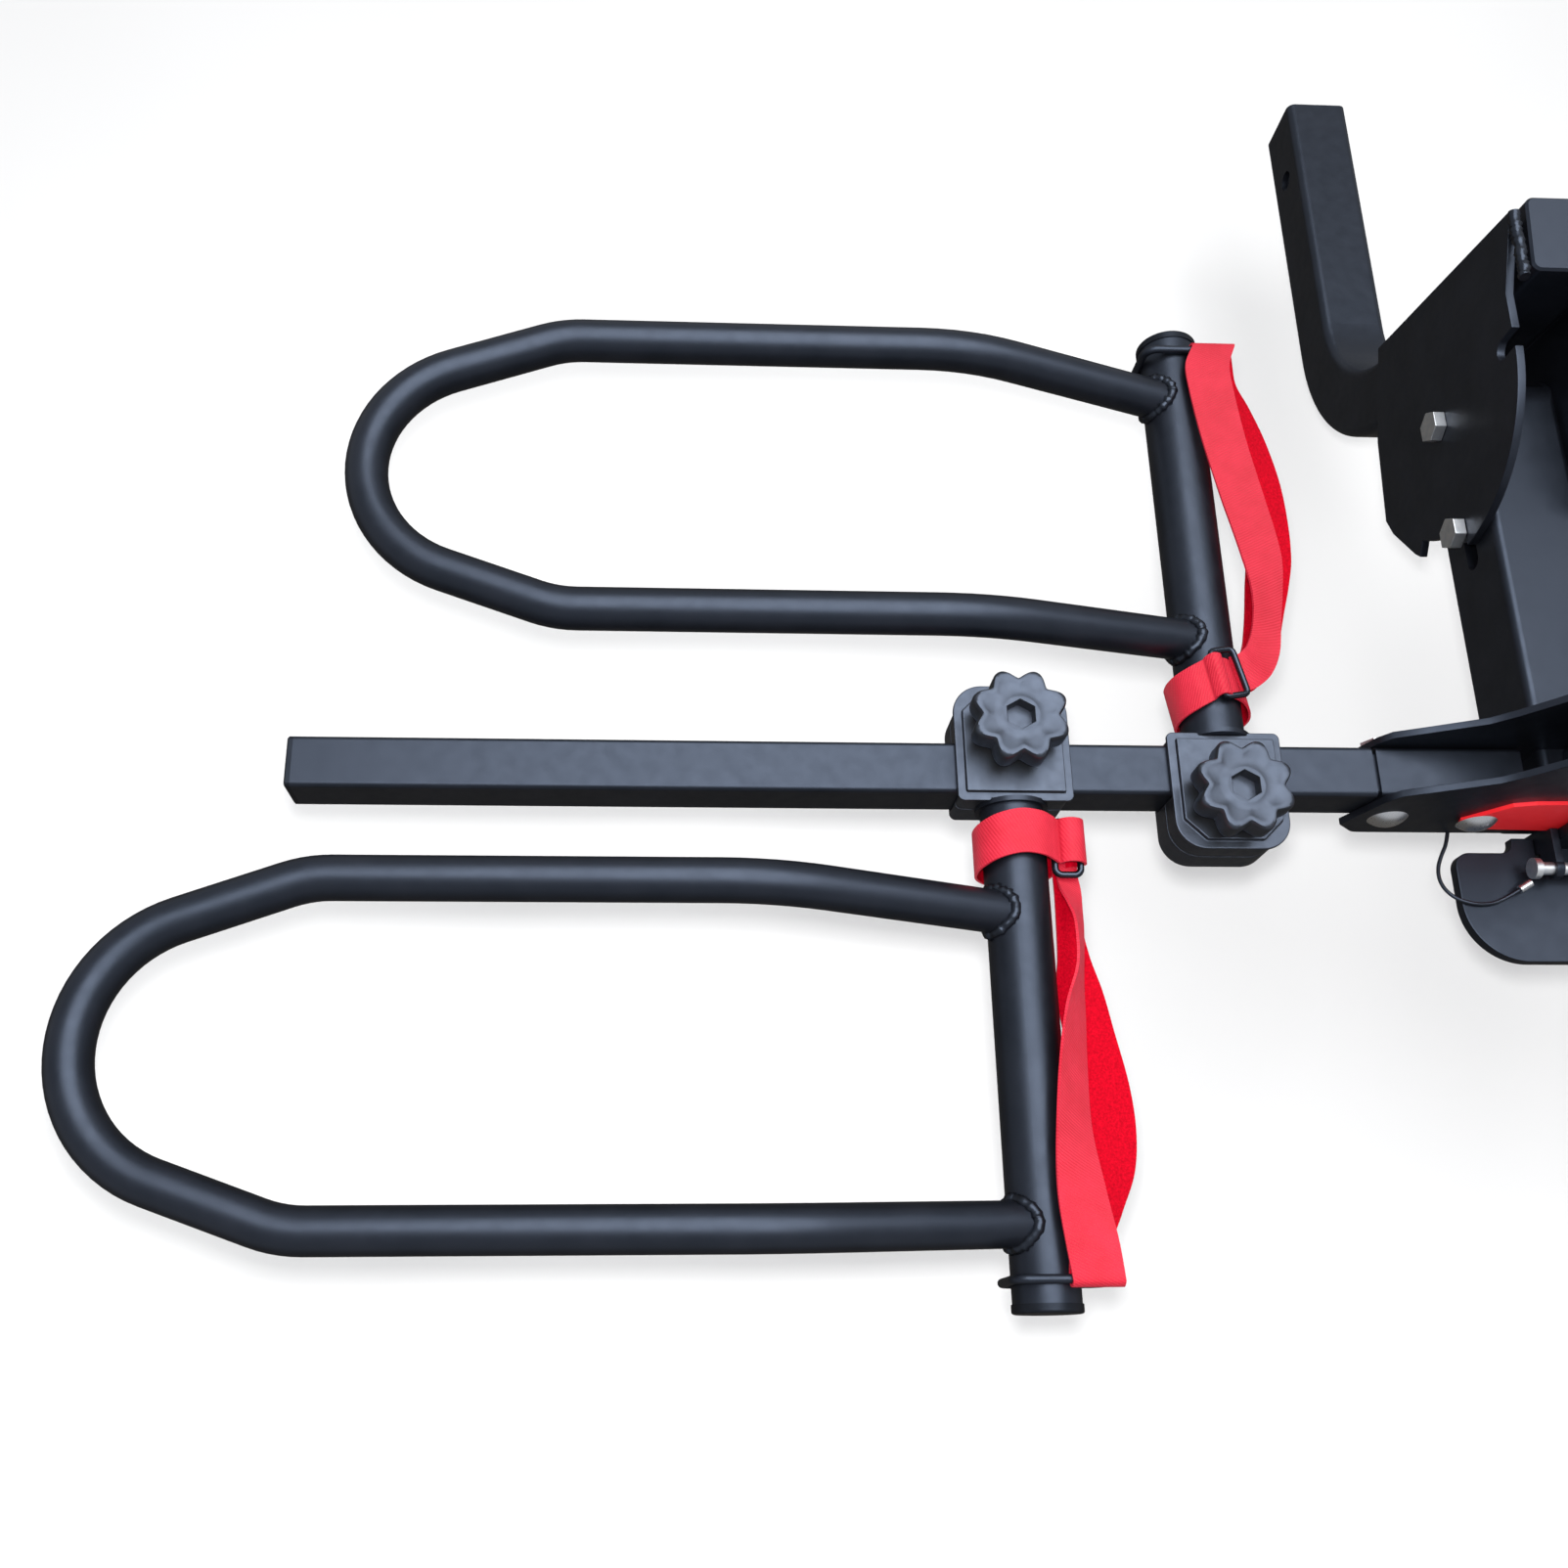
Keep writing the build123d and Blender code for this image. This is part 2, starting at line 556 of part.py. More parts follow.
def clamp_lid():
    """Upper clamp: a rim that stands proud of the walls, and a raised plate with cut corners."""
    rim = extrude(Plane.XY.offset(LID_BASE) * block_outline(RIM_OUT), amount=RIM_THICK)
    depth = BLOCK_KNOB_SIDE - BLOCK_POST_SIDE - 2 * LID_INSET
    face = Pos(0, (BLOCK_KNOB_SIDE + BLOCK_POST_SIDE) / 2) * Rectangle(2 * (BLOCK_HALF - LID_INSET), depth)
    face = chamfer(face.vertices().group_by(Axis.Y)[-1], BLOCK_CORNER_R * 0.7)
    plate = extrude(Plane.XY.offset(LID_BASE + RIM_THICK) * face, amount=LID_THICK)
    hole = rod((0, KNOB_Y, 0), UP, KNOB_STEM_R + RUNNING_GAP, 2 * BEAM)
    foot_room = rod((0, BLOCK_POST_SIDE, POST_Z), -AWAY, POST_FOOT_R + SLIDING_GAP, 2 * RIM_OUT)
    return rim + plate - hole - foot_room


def rail_wire():
    """Centre line of the wheel hoop, from the post out, round the end and back to the post."""
    far = RAIL_NEAR + RAIL_SPACING
    middle = (RAIL_NEAR + far) / 2
    half = RAIL_SPACING / 2
    turn = radians(RAIL_TAPER)
    tip_half = HOOP_R * cos(turn)
    tip_x = HOOP_CENTRE + HOOP_R * sin(turn)
    knee_x = tip_x - (half - tip_half) / tan(turn)
    runs = []
    for sign, pinch in ((1, -RAIL_PINCH), (-1, RAIL_PINCH)):
        y = middle + sign * half
        points = [(0, -(y + pinch), RAIL_FOOT_Z), (-RAIL_DROP_END, -y, RAIL_Z), (-knee_x, -y, RAIL_Z),
                  (-tip_x, -(middle + sign * tip_half), RAIL_Z)]
        runs.append(FilletPolyline(*points, radius=[RAIL_DROP_R, RAIL_TAPER_R]))
    end = ThreePointArc(runs[0] @ 1, (-(HOOP_CENTRE + HOOP_R), -middle, RAIL_Z), runs[1] @ 1)
    return Wire(runs[0].edges() + end.edges() + runs[1].edges())


def keeper():
    """Bent wire that holds the free end of the strap beside the post."""
    top = POST_Z + POST_R + KEEPER_WIRE_R - 0.4
    low = POST_Z - POST_R - KEEPER_WIRE_R + 0.4
    left = -POST_R - KEEPER_WIRE_R + 0.4
    points = [(-6, low), (left, low), (left, top), (KEEPER_OUT, top), (KEEPER_OUT, low), (6, low)]
    path = FilletPolyline(*[(x, -KEEPER_Y, z) for x, z in points], radius=KEEPER_CORNER_R)
    return pipe(path, KEEPER_WIRE_R)


def wheel_hoop():
    """Post with its foot ring, the tube hoop welded to it, and the strap keeper."""
    start = (0, BLOCK_POST_SIDE, POST_Z)
    length = POST_END + BLOCK_POST_SIDE
    post = rod(start, -AWAY, POST_R, length)
    foot = rod(start, -AWAY, POST_FOOT_R, POST_FOOT)
    bore = rod(start, -AWAY, POST_R - POST_WALL, length)
    line = rail_wire()
    hoop = post + foot + keeper() + pipe(line, RAIL_R)
    return hoop - bore - pipe(line, RAIL_R - RAIL_WALL)


def post_cap():
    """Plastic cap in the end of the post."""
    at = (0, -POST_END, POST_Z)
    cap = rod(at, -AWAY, POST_CAP_R, POST_CAP)
    cap = fillet(cap.edges().group_by(Axis.Y)[0], 1.5)
    return cap + rod(at, AWAY, POST_R - POST_WALL - PLUG_GAP, PLUG_DEPTH)


def wheel_strap():
    """Webbing: a collar round the post and the long slack loop that runs to the keeper."""
    inner = POST_R + STRAP_GAP
    ring = Circle(inner + STRAP) - Circle(inner)
    at = Plane(origin=(0, -COLLAR_Y + STRAP_WIDTH / 2, POST_Z), x_dir=RIGHT, z_dir=-AWAY)
    collar = extrude(at * ring, amount=STRAP_WIDTH)
    near_y = -LOOP_START_Y
    far_y = -KEEPER_Y
    a = (LOOP_START_X - LOOP_START_R, near_y)
    d = (LOOP_START_X + LOOP_START_R, near_y)
    b = (KEEPER_OUT - LOOP_END_R, far_y)
    c = (KEEPER_OUT + LOOP_END_R, far_y)
    face = make_face(Curve() + [
        Line(a, b),
        ThreePointArc(b, (KEEPER_OUT, far_y - LOOP_END_R), c),
        ThreePointArc(c, (LOOP_BULGE, -LOOP_BULGE_Y), d),
        ThreePointArc(d, (LOOP_START_X, near_y + LOOP_START_R), a),
    ])
    band = offset(face, STRAP / 2) - offset(face, -STRAP / 2)
    base = Plane.XY.offset(POST_Z - STRAP_WIDTH / 2)
    loop = extrude(base * band, amount=STRAP_WIDTH)
    return Compound(children=[collar, loop])


def strap_buckle():
    """Rectangular wire ring that joins the collar to the loop."""
    near = -COLLAR_Y + BUCKLE_LENGTH / 2
    far = -COLLAR_Y - BUCKLE_LENGTH / 2
    left = BUCKLE_X
    right = BUCKLE_X + BUCKLE_WIDTH
    middle = (left + right) / 2
    points = [(middle, near), (left, near), (left, far), (right, far), (right, near), (middle + 1, near)]
    path = FilletPolyline(*[(x, y, BUCKLE_Z) for x, y in points], radius=4.0)
    return pipe(path, BUCKLE_WIRE_R)


def foot_pedal():
    """T-shaped pedal plate with the hinged arm that draws the release rod."""
    half = [(PEDAL_NECK_HALF, PEDAL_NECK_END), (PEDAL_NECK_HALF, PEDAL_BACK), (PEDAL_HALF, PEDAL_BACK),
            (PEDAL_HALF, PEDAL_FRONT)]
    points = half + [(-x, y) for x, y in reversed(half)]
    face = make_face(Polyline(*points, points[0]))
    for side in (-1, 1):
        face = fillet(face.vertices().sort_by_distance((side * PEDAL_NECK_HALF, PEDAL_BACK))[0], PEDAL_NECK_R)
        face = fillet(face.vertices().sort_by_distance((side * PEDAL_HALF, PEDAL_BACK))[0], PEDAL_CORNER_R)
        face = fillet(face.vertices().sort_by_distance((side * PEDAL_HALF, PEDAL_FRONT))[0], PEDAL_SWEEP_R)
    plate = extrude(Plane.XY.offset(PEDAL_TOP) * face, amount=-PEDAL_THICK)
    for side in (-1, 1):
        slot = Box(EAR_THICK + 1, 2 * EAR_R + 1.5, 3 * PEDAL_THICK)
        middle = side * (ARM_HALF + SLIDING_GAP + EAR_THICK / 2)
        plate -= Pos(middle, PEDAL_PIN_Y - 1, PEDAL_TOP) * slot
    arm_top = ROD_Z + ROD_R
    height = arm_top - PEDAL_PIN_Z + EAR_R
    arm = Box(2 * ARM_HALF, ARM_THICK, height, align=(Align.CENTER, Align.CENTER, Align.MAX))
    arm = Pos(0, PEDAL_PIN_Y, arm_top) * arm
    fork = Box(2 * ROD_R + 1.5, 2 * ARM_THICK, 12, align=(Align.CENTER, Align.CENTER, Align.MIN))
    arm -= Pos(0, PEDAL_PIN_Y, ROD_Z - ROD_R - 1.5) * fork
    hub = rod((-ARM_HALF, PEDAL_PIN_Y, PEDAL_PIN_Z), RIGHT, EAR_R - 0.5, 2 * ARM_HALF)
    pin_hole = rod((-SPINE, PEDAL_PIN_Y, PEDAL_PIN_Z), RIGHT, PEDAL_PIN_R + RUNNING_GAP, 2 * SPINE)
    return plate + arm + hub - pin_hole


def ear_face():
    """Side view of a hinge ear: a low eye for the pedal pin and a long eye for the safety pin."""
    low = Pos(PEDAL_PIN_Y, PEDAL_PIN_Z) * Circle(EAR_R)
    back = -PLATE_OUT
    under_band = -BAND_HALF_HEIGHT - 2 * SLIDING_GAP
    past_band = back - BAND_THICK - 1
    root = make_face(Polyline(
        (back, PLATE_BOTTOM), (back, under_band), (past_band, under_band), (past_band, EAR_ARM_TOP),
        (SAFETY_PIN_Y, EAR_ARM_TOP), (SAFETY_PIN_Y, EAR_ARM_LOW), *EAR_HOLLOW,
        (PEDAL_PIN_Y - EAR_R, PEDAL_PIN_Z), (PEDAL_PIN_Y + EAR_R, PEDAL_PIN_Z), (back, PLATE_BOTTOM)))
    eye = Pos(SAFETY_PIN_Y, SAFETY_PIN_Z) * Circle(EAR_ARM_R)
    pedal_hole = Pos(PEDAL_PIN_Y, PEDAL_PIN_Z) * Circle(PEDAL_PIN_R + RUNNING_GAP)
    safety_hole = Pos(SAFETY_PIN_Y, SAFETY_PIN_Z) * Circle(SAFETY_PIN_R + RUNNING_GAP)
    return root + low + eye - pedal_hole - safety_hole


def pedal_ears():
    """The two hinge ears welded to the foot of the front plate."""
    parts = []
    for side in (-1, 1):
        inner = ARM_HALF + SLIDING_GAP
        start = inner if side > 0 else -inner - EAR_THICK
        plane = Plane(origin=(start, 0, 0), x_dir=AWAY, z_dir=RIGHT)
        parts.append(extrude(plane * ear_face(), amount=EAR_THICK))
    return Compound(children=parts)


def pedal_pin():
    """Hinge pin of the pedal."""
    half = ARM_HALF + SLIDING_GAP + EAR_THICK + 2
    return rod((-half, PEDAL_PIN_Y, PEDAL_PIN_Z), RIGHT, PEDAL_PIN_R, 2 * half)


def release_rod():
    """Bent rod from the lock bolt to its head in front of the pedal arm."""
    arm_front = PEDAL_PIN_Y - ARM_THICK / 2
    head_y = arm_front - ROD_PLAY
    hub_r = BOLT_R + BUSH_WALL
    path = FilletPolyline((0, LOCK_Y - hub_r + 2, TILT_Z), (0, LOCK_Y - ROD_STRAIGHT, TILT_Z),
                          (0, LOCK_Y - ROD_RISE_END, ROD_Z), (0, head_y, ROD_Z),
                          radius=[ROD_BEND_R, ROD_BEND_R])
    hub = rod((-hub_r, LOCK_Y, TILT_Z), RIGHT, hub_r, 2 * hub_r)
    head = rod((0, head_y, ROD_Z), -AWAY, ROD_HEAD_R, ROD_HEAD)
    bore = rod((-SPINE, LOCK_Y, TILT_Z), RIGHT, BOLT_R + RUNNING_GAP, 2 * SPINE)
    return pipe(path, ROD_R) + hub + head - bore


def safety_pin():
    """Headed pin through the ears, drawn out to the left."""
    length = 2 * (ARM_HALF + EAR_THICK) + 16
    start = -(ARM_HALF + EAR_THICK) - 9
    shank = rod((start, SAFETY_PIN_Y, SAFETY_PIN_Z), RIGHT, SAFETY_PIN_R, length)
    head = rod((start, SAFETY_PIN_Y, SAFETY_PIN_Z), -RIGHT, SAFETY_HEAD_R, SAFETY_HEAD)
    return chamfer(shank.edges().group_by(Axis.X)[-1], 1.0) + head


def lanyard_run():
    """Tether cable, swept along straight runs joined by large arcs."""
    points = [Vector(*p) for p in LANYARD_ROUTE]
    radii = []
    for before, here, after in zip(points, points[1:], points[2:]):
        turn = radians((here - before).get_angle(after - here))
        shorter = min((here - before).length, (after - here).length)
        radii.append(0.45 * shorter / tan(turn / 2))
    return FilletPolyline(*points, radius=radii)


def lanyard_ferrule():
    """Crimped sleeve that ties the cable to the head of the safety pin."""
    first = Vector(*LANYARD_ROUTE[0])
    along = (first - Vector(*LANYARD_ROUTE[1])).normalized()
    plane = Plane(origin=first, x_dir=UP.cross(along), z_dir=along)
    return extrude(plane * Circle(FERRULE_R), amount=FERRULE)


def save(name, shape):
    """Carry a piece from the beam line to the hitch pin frame and write it."""
    placed = Pos(0, -PIN_TO_BEAM, SHANK_DROP) * shape
    placed.label = name
    export_step(placed, f"parts/{name}.step")


def place(shape, side, row, x):
    """Turn a left front carrier piece into the copy for a side and a row."""
    if row > 0:
        shape = mirror(shape, about=Plane.XZ)
    if side > 0:
        shape = mirror(shape, about=Plane.YZ)
    return Pos(side * x, 0, 0) * shape


def save_carriers():
    """The four wheel carriers, mirrored from one set of pieces."""
    knob = Pos(0, KNOB_Y, BLOCK_TOP) * star_knob(KNOB_STEM)
    pieces = {
        "clamp_block": clamp_block(), "clamp_lid": clamp_lid(), "star_knob": knob,
        "wheel_hoop": wheel_hoop(), "post_cap": post_cap(), "wheel_strap": wheel_strap(),
        "strap_buckle": strap_buckle(),
    }
    for side, side_name in ((-1, "left"), (1, "right")):
        for row, row_name in ((-1, "front"), (1, "rear")):
            for name, shape in pieces.items():
                save(f"{side_name}_{row_name}_{name}", place(shape, side, row, LEFT_POSTS[row_name]))


def main():
    """Build and write every piece."""
    os.makedirs("parts", exist_ok=True)
    save("hitch_shank", hitch_shank())
    save("riser_cap", riser_cap())
    save("tilt_plate_left", tilt_plate(-1))
    save("tilt_plate_right", tilt_plate(1))
    save("tilt_pivot_bolt", cross_bolt(TILT_Y, TILT_Z, TILT_PLATE_OUT + 0.1))
    save("lock_bolt", cross_bolt(LOCK_Y, TILT_Z, TILT_PLATE_OUT + SLIDING_GAP))
    save("release_rod", release_rod())
    save("spine_tube", spine_tube())
    save("bracket_plate_front", bracket_plate(True))
    save("bracket_plate_back", bracket_plate(False))
    save("beam_sleeves", beam_sleeves())
    save("beam_tongues", beam_tongues())
    save("left_beam", beam(-1))
    save("right_beam", beam(1))
    save("tube_plugs", tube_plugs())
    save("carriage_bolts", carriage_bolts())
    save("front_band", front_band())
    save("mast_tube", mast_tube())
    save("foot_pedal", foot_pedal())
    save("pedal_ears", pedal_ears())
    save("pedal_pin", pedal_pin())
    save("safety_pin", safety_pin())
    save("lanyard_cable", pipe(lanyard_run(), LANYARD_R))
    save("lanyard_ferrule", lanyard_ferrule())
    for name, row, height in HOOKS:
        save(f"{name}_arm", hook_arm(row, height))
        save(f"{name}_pad", hook_pad(row, height))
        side_knob = Pos(HOOK_COLLAR / 2, 0, height) * Rot(0, 90, 0) * star_knob(HOOK_COLLAR / 2 - CHANNEL)
        save(f"{name}_knob", side_knob)
    save_carriers()


main()
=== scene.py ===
# %% [markdown]
# # Dressing a hitch bike rack
# The metal parts of this rack come from a CAD model that is already packed, so this lesson
# adds what CAD leaves plain: powder coat, zinc, woven straps, weld beads and moulded knobs.
# Every length is in metres, and the origin is the hitch pin hole.

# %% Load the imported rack
import bpy
import json
import math
import random
import numpy as np
from mathutils import Matrix, Vector

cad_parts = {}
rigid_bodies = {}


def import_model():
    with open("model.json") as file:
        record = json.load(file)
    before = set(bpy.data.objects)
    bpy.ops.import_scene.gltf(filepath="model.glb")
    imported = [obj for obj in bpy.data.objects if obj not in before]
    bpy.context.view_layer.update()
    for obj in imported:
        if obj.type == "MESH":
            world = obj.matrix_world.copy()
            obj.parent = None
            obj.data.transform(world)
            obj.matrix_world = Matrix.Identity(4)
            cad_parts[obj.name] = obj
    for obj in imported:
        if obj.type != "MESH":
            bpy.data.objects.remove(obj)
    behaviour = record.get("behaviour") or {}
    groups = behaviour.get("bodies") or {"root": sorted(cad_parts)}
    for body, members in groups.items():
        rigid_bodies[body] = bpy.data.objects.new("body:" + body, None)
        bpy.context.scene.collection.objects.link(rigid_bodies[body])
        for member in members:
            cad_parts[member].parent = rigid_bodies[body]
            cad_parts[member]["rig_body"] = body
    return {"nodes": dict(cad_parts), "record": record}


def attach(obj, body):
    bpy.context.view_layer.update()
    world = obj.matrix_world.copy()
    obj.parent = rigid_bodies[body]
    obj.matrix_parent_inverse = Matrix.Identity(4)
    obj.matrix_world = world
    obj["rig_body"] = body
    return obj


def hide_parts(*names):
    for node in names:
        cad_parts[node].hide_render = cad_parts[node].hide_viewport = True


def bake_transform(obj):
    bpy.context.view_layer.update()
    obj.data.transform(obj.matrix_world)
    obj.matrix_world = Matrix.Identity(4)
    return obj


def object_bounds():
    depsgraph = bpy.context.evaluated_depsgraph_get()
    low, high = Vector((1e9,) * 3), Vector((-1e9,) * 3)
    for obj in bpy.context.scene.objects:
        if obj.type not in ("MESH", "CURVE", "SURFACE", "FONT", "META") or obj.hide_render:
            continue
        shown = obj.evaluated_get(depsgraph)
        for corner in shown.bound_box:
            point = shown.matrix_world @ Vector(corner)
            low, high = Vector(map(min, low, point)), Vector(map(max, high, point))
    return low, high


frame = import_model()
cad_box = [list(corner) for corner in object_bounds()]
nodes = frame["nodes"]
print(len(nodes), "nodes, from", cad_box[0], "to", cad_box[1])

# %% [markdown]
# ## Millimetres about the beam
# A rack is easiest to describe in millimetres about the line where its cross beams meet the
# middle. One helper carries such a point to metres about the hitch pin hole. The four wheel
# carriers share one design, so a table holds what tells them apart.

# %% Carry a point from the beam line to the scene
MM = 0.001
BEAM_LINE = (0.0, -640.0, 190.4)


def at(x, y, z):
    """A point in millimetres about the beam line, as a place in the scene."""
    return Vector((x + BEAM_LINE[0], y + BEAM_LINE[1], z + BEAM_LINE[2])) * MM


# Each carrier's side, its row (-1 is away from the vehicle) and its post's distance sideways
POSTS = {"left_front": (-1, -1, 356.0), "left_rear": (-1, 1, 228.0),
         "right_front": (1, -1, 356.0), "right_rear": (1, 1, 228.0)}
print("beam line at", at(0, 0, 0))

# %% [markdown]
# ## The camera
# The picture was taken from above the left side, looking down. A camera turned by hand would
# only come close, so its place and its three axes are written down from a fit to the picture.
# A small shift moves the frame without turning the camera.

# %% Set up the camera
PHOTO_PIXELS = 1603
FOCAL_PIXELS = 1564.6
OPTICAL_CENTRE = (754.56, 873.64)
SENSOR = 36.0
NEAREST = 0.02
CAMERA_PLACE = at(-565.0, -346.68, 847.8)
CAMERA_RIGHT = Vector((0.9987, -0.0102, 0.05044))
CAMERA_UP = Vector((-0.00699, 0.9441, 0.32936))

lens = bpy.data.cameras.new("photo_camera")
lens.sensor_fit = "HORIZONTAL"
lens.sensor_width = SENSOR
lens.lens = FOCAL_PIXELS / PHOTO_PIXELS * SENSOR
lens.shift_x = (PHOTO_PIXELS / 2 - OPTICAL_CENTRE[0]) / PHOTO_PIXELS
lens.shift_y = (OPTICAL_CENTRE[1] - PHOTO_PIXELS / 2) / PHOTO_PIXELS
lens.clip_start = NEAREST
back = CAMERA_RIGHT.cross(CAMERA_UP).normalized()
up = back.cross(CAMERA_RIGHT).normalized()
camera_axes = Matrix((CAMERA_RIGHT.normalized(), up, back)).transposed().to_4x4()
camera = bpy.data.objects.new("photo_camera", lens)
camera.matrix_world = Matrix.Translation(CAMERA_PLACE) @ camera_axes
bpy.context.scene.collection.objects.link(camera)
bpy.context.scene.camera = camera
print("lens", round(lens.lens, 2), "mm, shift", round(lens.shift_x, 4), round(lens.shift_y, 4))

# %% [markdown]
# ## Colours and shader nodes
# Colours are read off as hex values, which are made for screens. A shader wants linear light,
# so one function turns them. Another adds a shader node with its settings and its links, which
# keeps each material short enough to read.

# %% Helpers for colours, shader nodes and materials
def hex_colour(text):
    """Linear RGBA from an sRGB hex value, by the curve of the sRGB standard."""
    parts = [int(text[i:i + 2], 16) / 255 for i in (1, 3, 5)]
    linear = [c / 12.92 if c <= 0.04045 else ((c + 0.055) / 1.055) ** 2.4 for c in parts]
    return (*linear, 1.0)


def add_node(tree, kind, inputs=None, **settings):
    """Add a shader node; each input takes a value or another node's output."""
    made = tree.nodes.new(kind)
    for key, value in settings.items():
        setattr(made, key, value)
    for key, value in (inputs or {}).items():
        if isinstance(value, bpy.types.NodeSocket):
            tree.links.new(value, made.inputs[key])
        else:
            made.inputs[key].default_value = value
    return made


def new_material(name, roughness, metallic=0.0, **sockets):
    """A named material with its shader, ready for patterns."""
    made = bpy.data.materials.new(name)
    made.use_nodes = True
    tree = made.node_tree
    shader = tree.nodes["Principled BSDF"]
    shader.inputs["Roughness"].default_value = roughness
    shader.inputs["Metallic"].default_value = metallic
    for key, value in sockets.items():
        shader.inputs[key.replace("_", " ")].default_value = value
    return made, tree, shader


print("steel grey in linear light:", hex_colour("#808080")[:3])

# %% [markdown]
# ## Patterns of a real size
# No real surface is even. Its colour and gloss drift in soft patches, and a fine relief breaks
# its highlight. All three come from noise whose lumps are given in millimetres, on the
# object's own coordinates, so that the pattern stays on the piece when it moves.

# %% Helpers for drifting colour, drifting gloss and relief
NOISE_LOW, NOISE_HIGH = 0.3, 0.7  # nearly all values of a noise lie between these
COLOUR_A, COLOUR_B, COLOUR_RESULT = 6, 7, 2  # a Mix node's colour sockets, whose names repeat


def grain(tree, lump_mm, detail):
    """Noise whose lumps are about lump_mm across, on the object's own coordinates."""
    place = add_node(tree, "ShaderNodeTexCoord").outputs["Object"]
    return add_node(tree, "ShaderNodeTexNoise", {"Vector": place, "Scale": 1 / (lump_mm * MM),
                                                 "Detail": detail}).outputs["Fac"]


def mottle(tree, low, high, lump_mm, detail):
    """Soft patches about lump_mm across that run from low to high."""
    return add_node(tree, "ShaderNodeMapRange", {
        "Value": grain(tree, lump_mm, detail), "From Min": NOISE_LOW, "From Max": NOISE_HIGH,
        "To Min": low, "To Max": high}).outputs["Result"]


def colour_drift(tree, shader, first, second, lump_mm, detail):
    """A base colour that drifts between two hex colours in patches."""
    mix = add_node(tree, "ShaderNodeMix", {
        "Factor": mottle(tree, 0.0, 1.0, lump_mm, detail), COLOUR_A: hex_colour(first),
        COLOUR_B: hex_colour(second)}, data_type="RGBA")
    tree.links.new(mix.outputs[COLOUR_RESULT], shader.inputs["Base Color"])


def gloss_drift(tree, shader, low, high, lump_mm, detail):
    """A roughness that drifts between two values in patches."""
    tree.links.new(mottle(tree, low, high, lump_mm, detail), shader.inputs["Roughness"])


def relief(tree, shader, lump_mm, detail, depth_mm, strength):
    """A fine relief with lumps of a real size and depth."""
    bump = add_node(tree, "ShaderNodeBump", {"Height": grain(tree, lump_mm, detail),
                                             "Distance": depth_mm * MM, "Strength": strength})
    tree.links.new(bump.outputs["Normal"], shader.inputs["Normal"])


print("patches run between noise values of", NOISE_LOW, "and", NOISE_HIGH)

# %% [markdown]
# ## Black powder coat
# The tubes and plates are sprayed with dry polyester powder and baked. The coat is satin, and
# melts into a faint orange peel about a millimetre across. It is nearly black, and what shows
# grey in the picture is the wide soft reflection of the light above, so roughness matters
# more than colour here. Dust gives it a slow change over a few centimetres.

# %% Make the powder coats
SKY_TINT = "#cbdeff"


def powder_coat(name, dark, light, roughness, peel_mm=1.1, peel_depth_mm=0.03):
    """Baked satin powder coat."""
    made, tree, shader = new_material(name, roughness, IOR=1.5, Specular_IOR_Level=0.7)
    shader.inputs["Specular Tint"].default_value = hex_colour(SKY_TINT)
    colour_drift(tree, shader, dark, light, lump_mm=28.0, detail=4.0)
    gloss_drift(tree, shader, roughness - 0.03, roughness + 0.05, lump_mm=9.0, detail=3.0)
    relief(tree, shader, lump_mm=peel_mm, detail=1.0, depth_mm=peel_depth_mm, strength=0.5)
    return made


satin_black = powder_coat("polyester_powder_coat_black", "#06070a", "#0d0e12", 0.4)
red_coat = powder_coat("polyester_powder_coat_red", "#cf1a20", "#da2529", 0.45)
print(satin_black.name, red_coat.name)

# %% [markdown]
# ## Weld metal under the coat
# A bead laid by hand is a row of overlapping puddles, and the powder runs thicker in its
# valleys. The same coat is used, glossier and with a coarser relief.

# %% Make the coated weld
weld_black = powder_coat("powder_coated_weld_bead", "#050506", "#0b0c0f", 0.32,
                         peel_mm=2.4, peel_depth_mm=0.2)
print(weld_black.name)

# %% [markdown]
# ## Zinc and chromium plate
# Hex bolts are electroplated with zinc: bright, slightly blue, with handling marks. The domed
# bolts are polished before plating, so they are smoother. Both are metals, so the base colour
# is the colour of the reflection.

# %% Make the plated metals
def plated(name, first, second, roughness, patch_mm):
    """Plated or drawn metal with a slow change of tint and fine marks."""
    made, tree, shader = new_material(name, roughness, metallic=1.0)
    colour_drift(tree, shader, first, second, lump_mm=patch_mm, detail=3.0)
    gloss_drift(tree, shader, roughness - 0.05, roughness + 0.1, lump_mm=0.9, detail=4.0)
    relief(tree, shader, lump_mm=0.5, detail=3.0, depth_mm=0.01, strength=0.4)
    return made


zinc = plated("zinc_electroplated_steel", "#dde2e8", "#eef0f2", 0.42, patch_mm=5.0)
chrome = plated("chromium_plated_steel", "#e9edf2", "#f6f7f9", 0.3, patch_mm=8.0)
aluminium = plated("drawn_aluminium_sleeve", "#b9bcc0", "#d3d5d8", 0.34, patch_mm=2.0)
print(zinc.name, chrome.name, aluminium.name)

# %% [markdown]
# ## Moulded plastics, rubber and wire
# The clamps and knobs are glass filled nylon, moulded in a mould with a fine spark texture, so
# they are matt and a little greyer than the coat. The caps are softer polyethylene. The
# keeper rings are gloss enamelled wire, and the hook sleeves are rubber.

# %% Make the plastics and the rubber
def moulded(name, dark, light, roughness, texture_mm, depth_mm, gloss=0.75):
    """Moulded plastic or rubber with the texture of its mould."""
    made, tree, shader = new_material(name, roughness, IOR=1.52, Specular_IOR_Level=gloss)
    shader.inputs["Specular Tint"].default_value = hex_colour(SKY_TINT)
    colour_drift(tree, shader, dark, light, lump_mm=14.0, detail=3.0)
    gloss_drift(tree, shader, roughness - 0.05, roughness + 0.06, lump_mm=6.0, detail=2.0)
    relief(tree, shader, lump_mm=texture_mm, detail=2.0, depth_mm=depth_mm, strength=0.7)
    return made


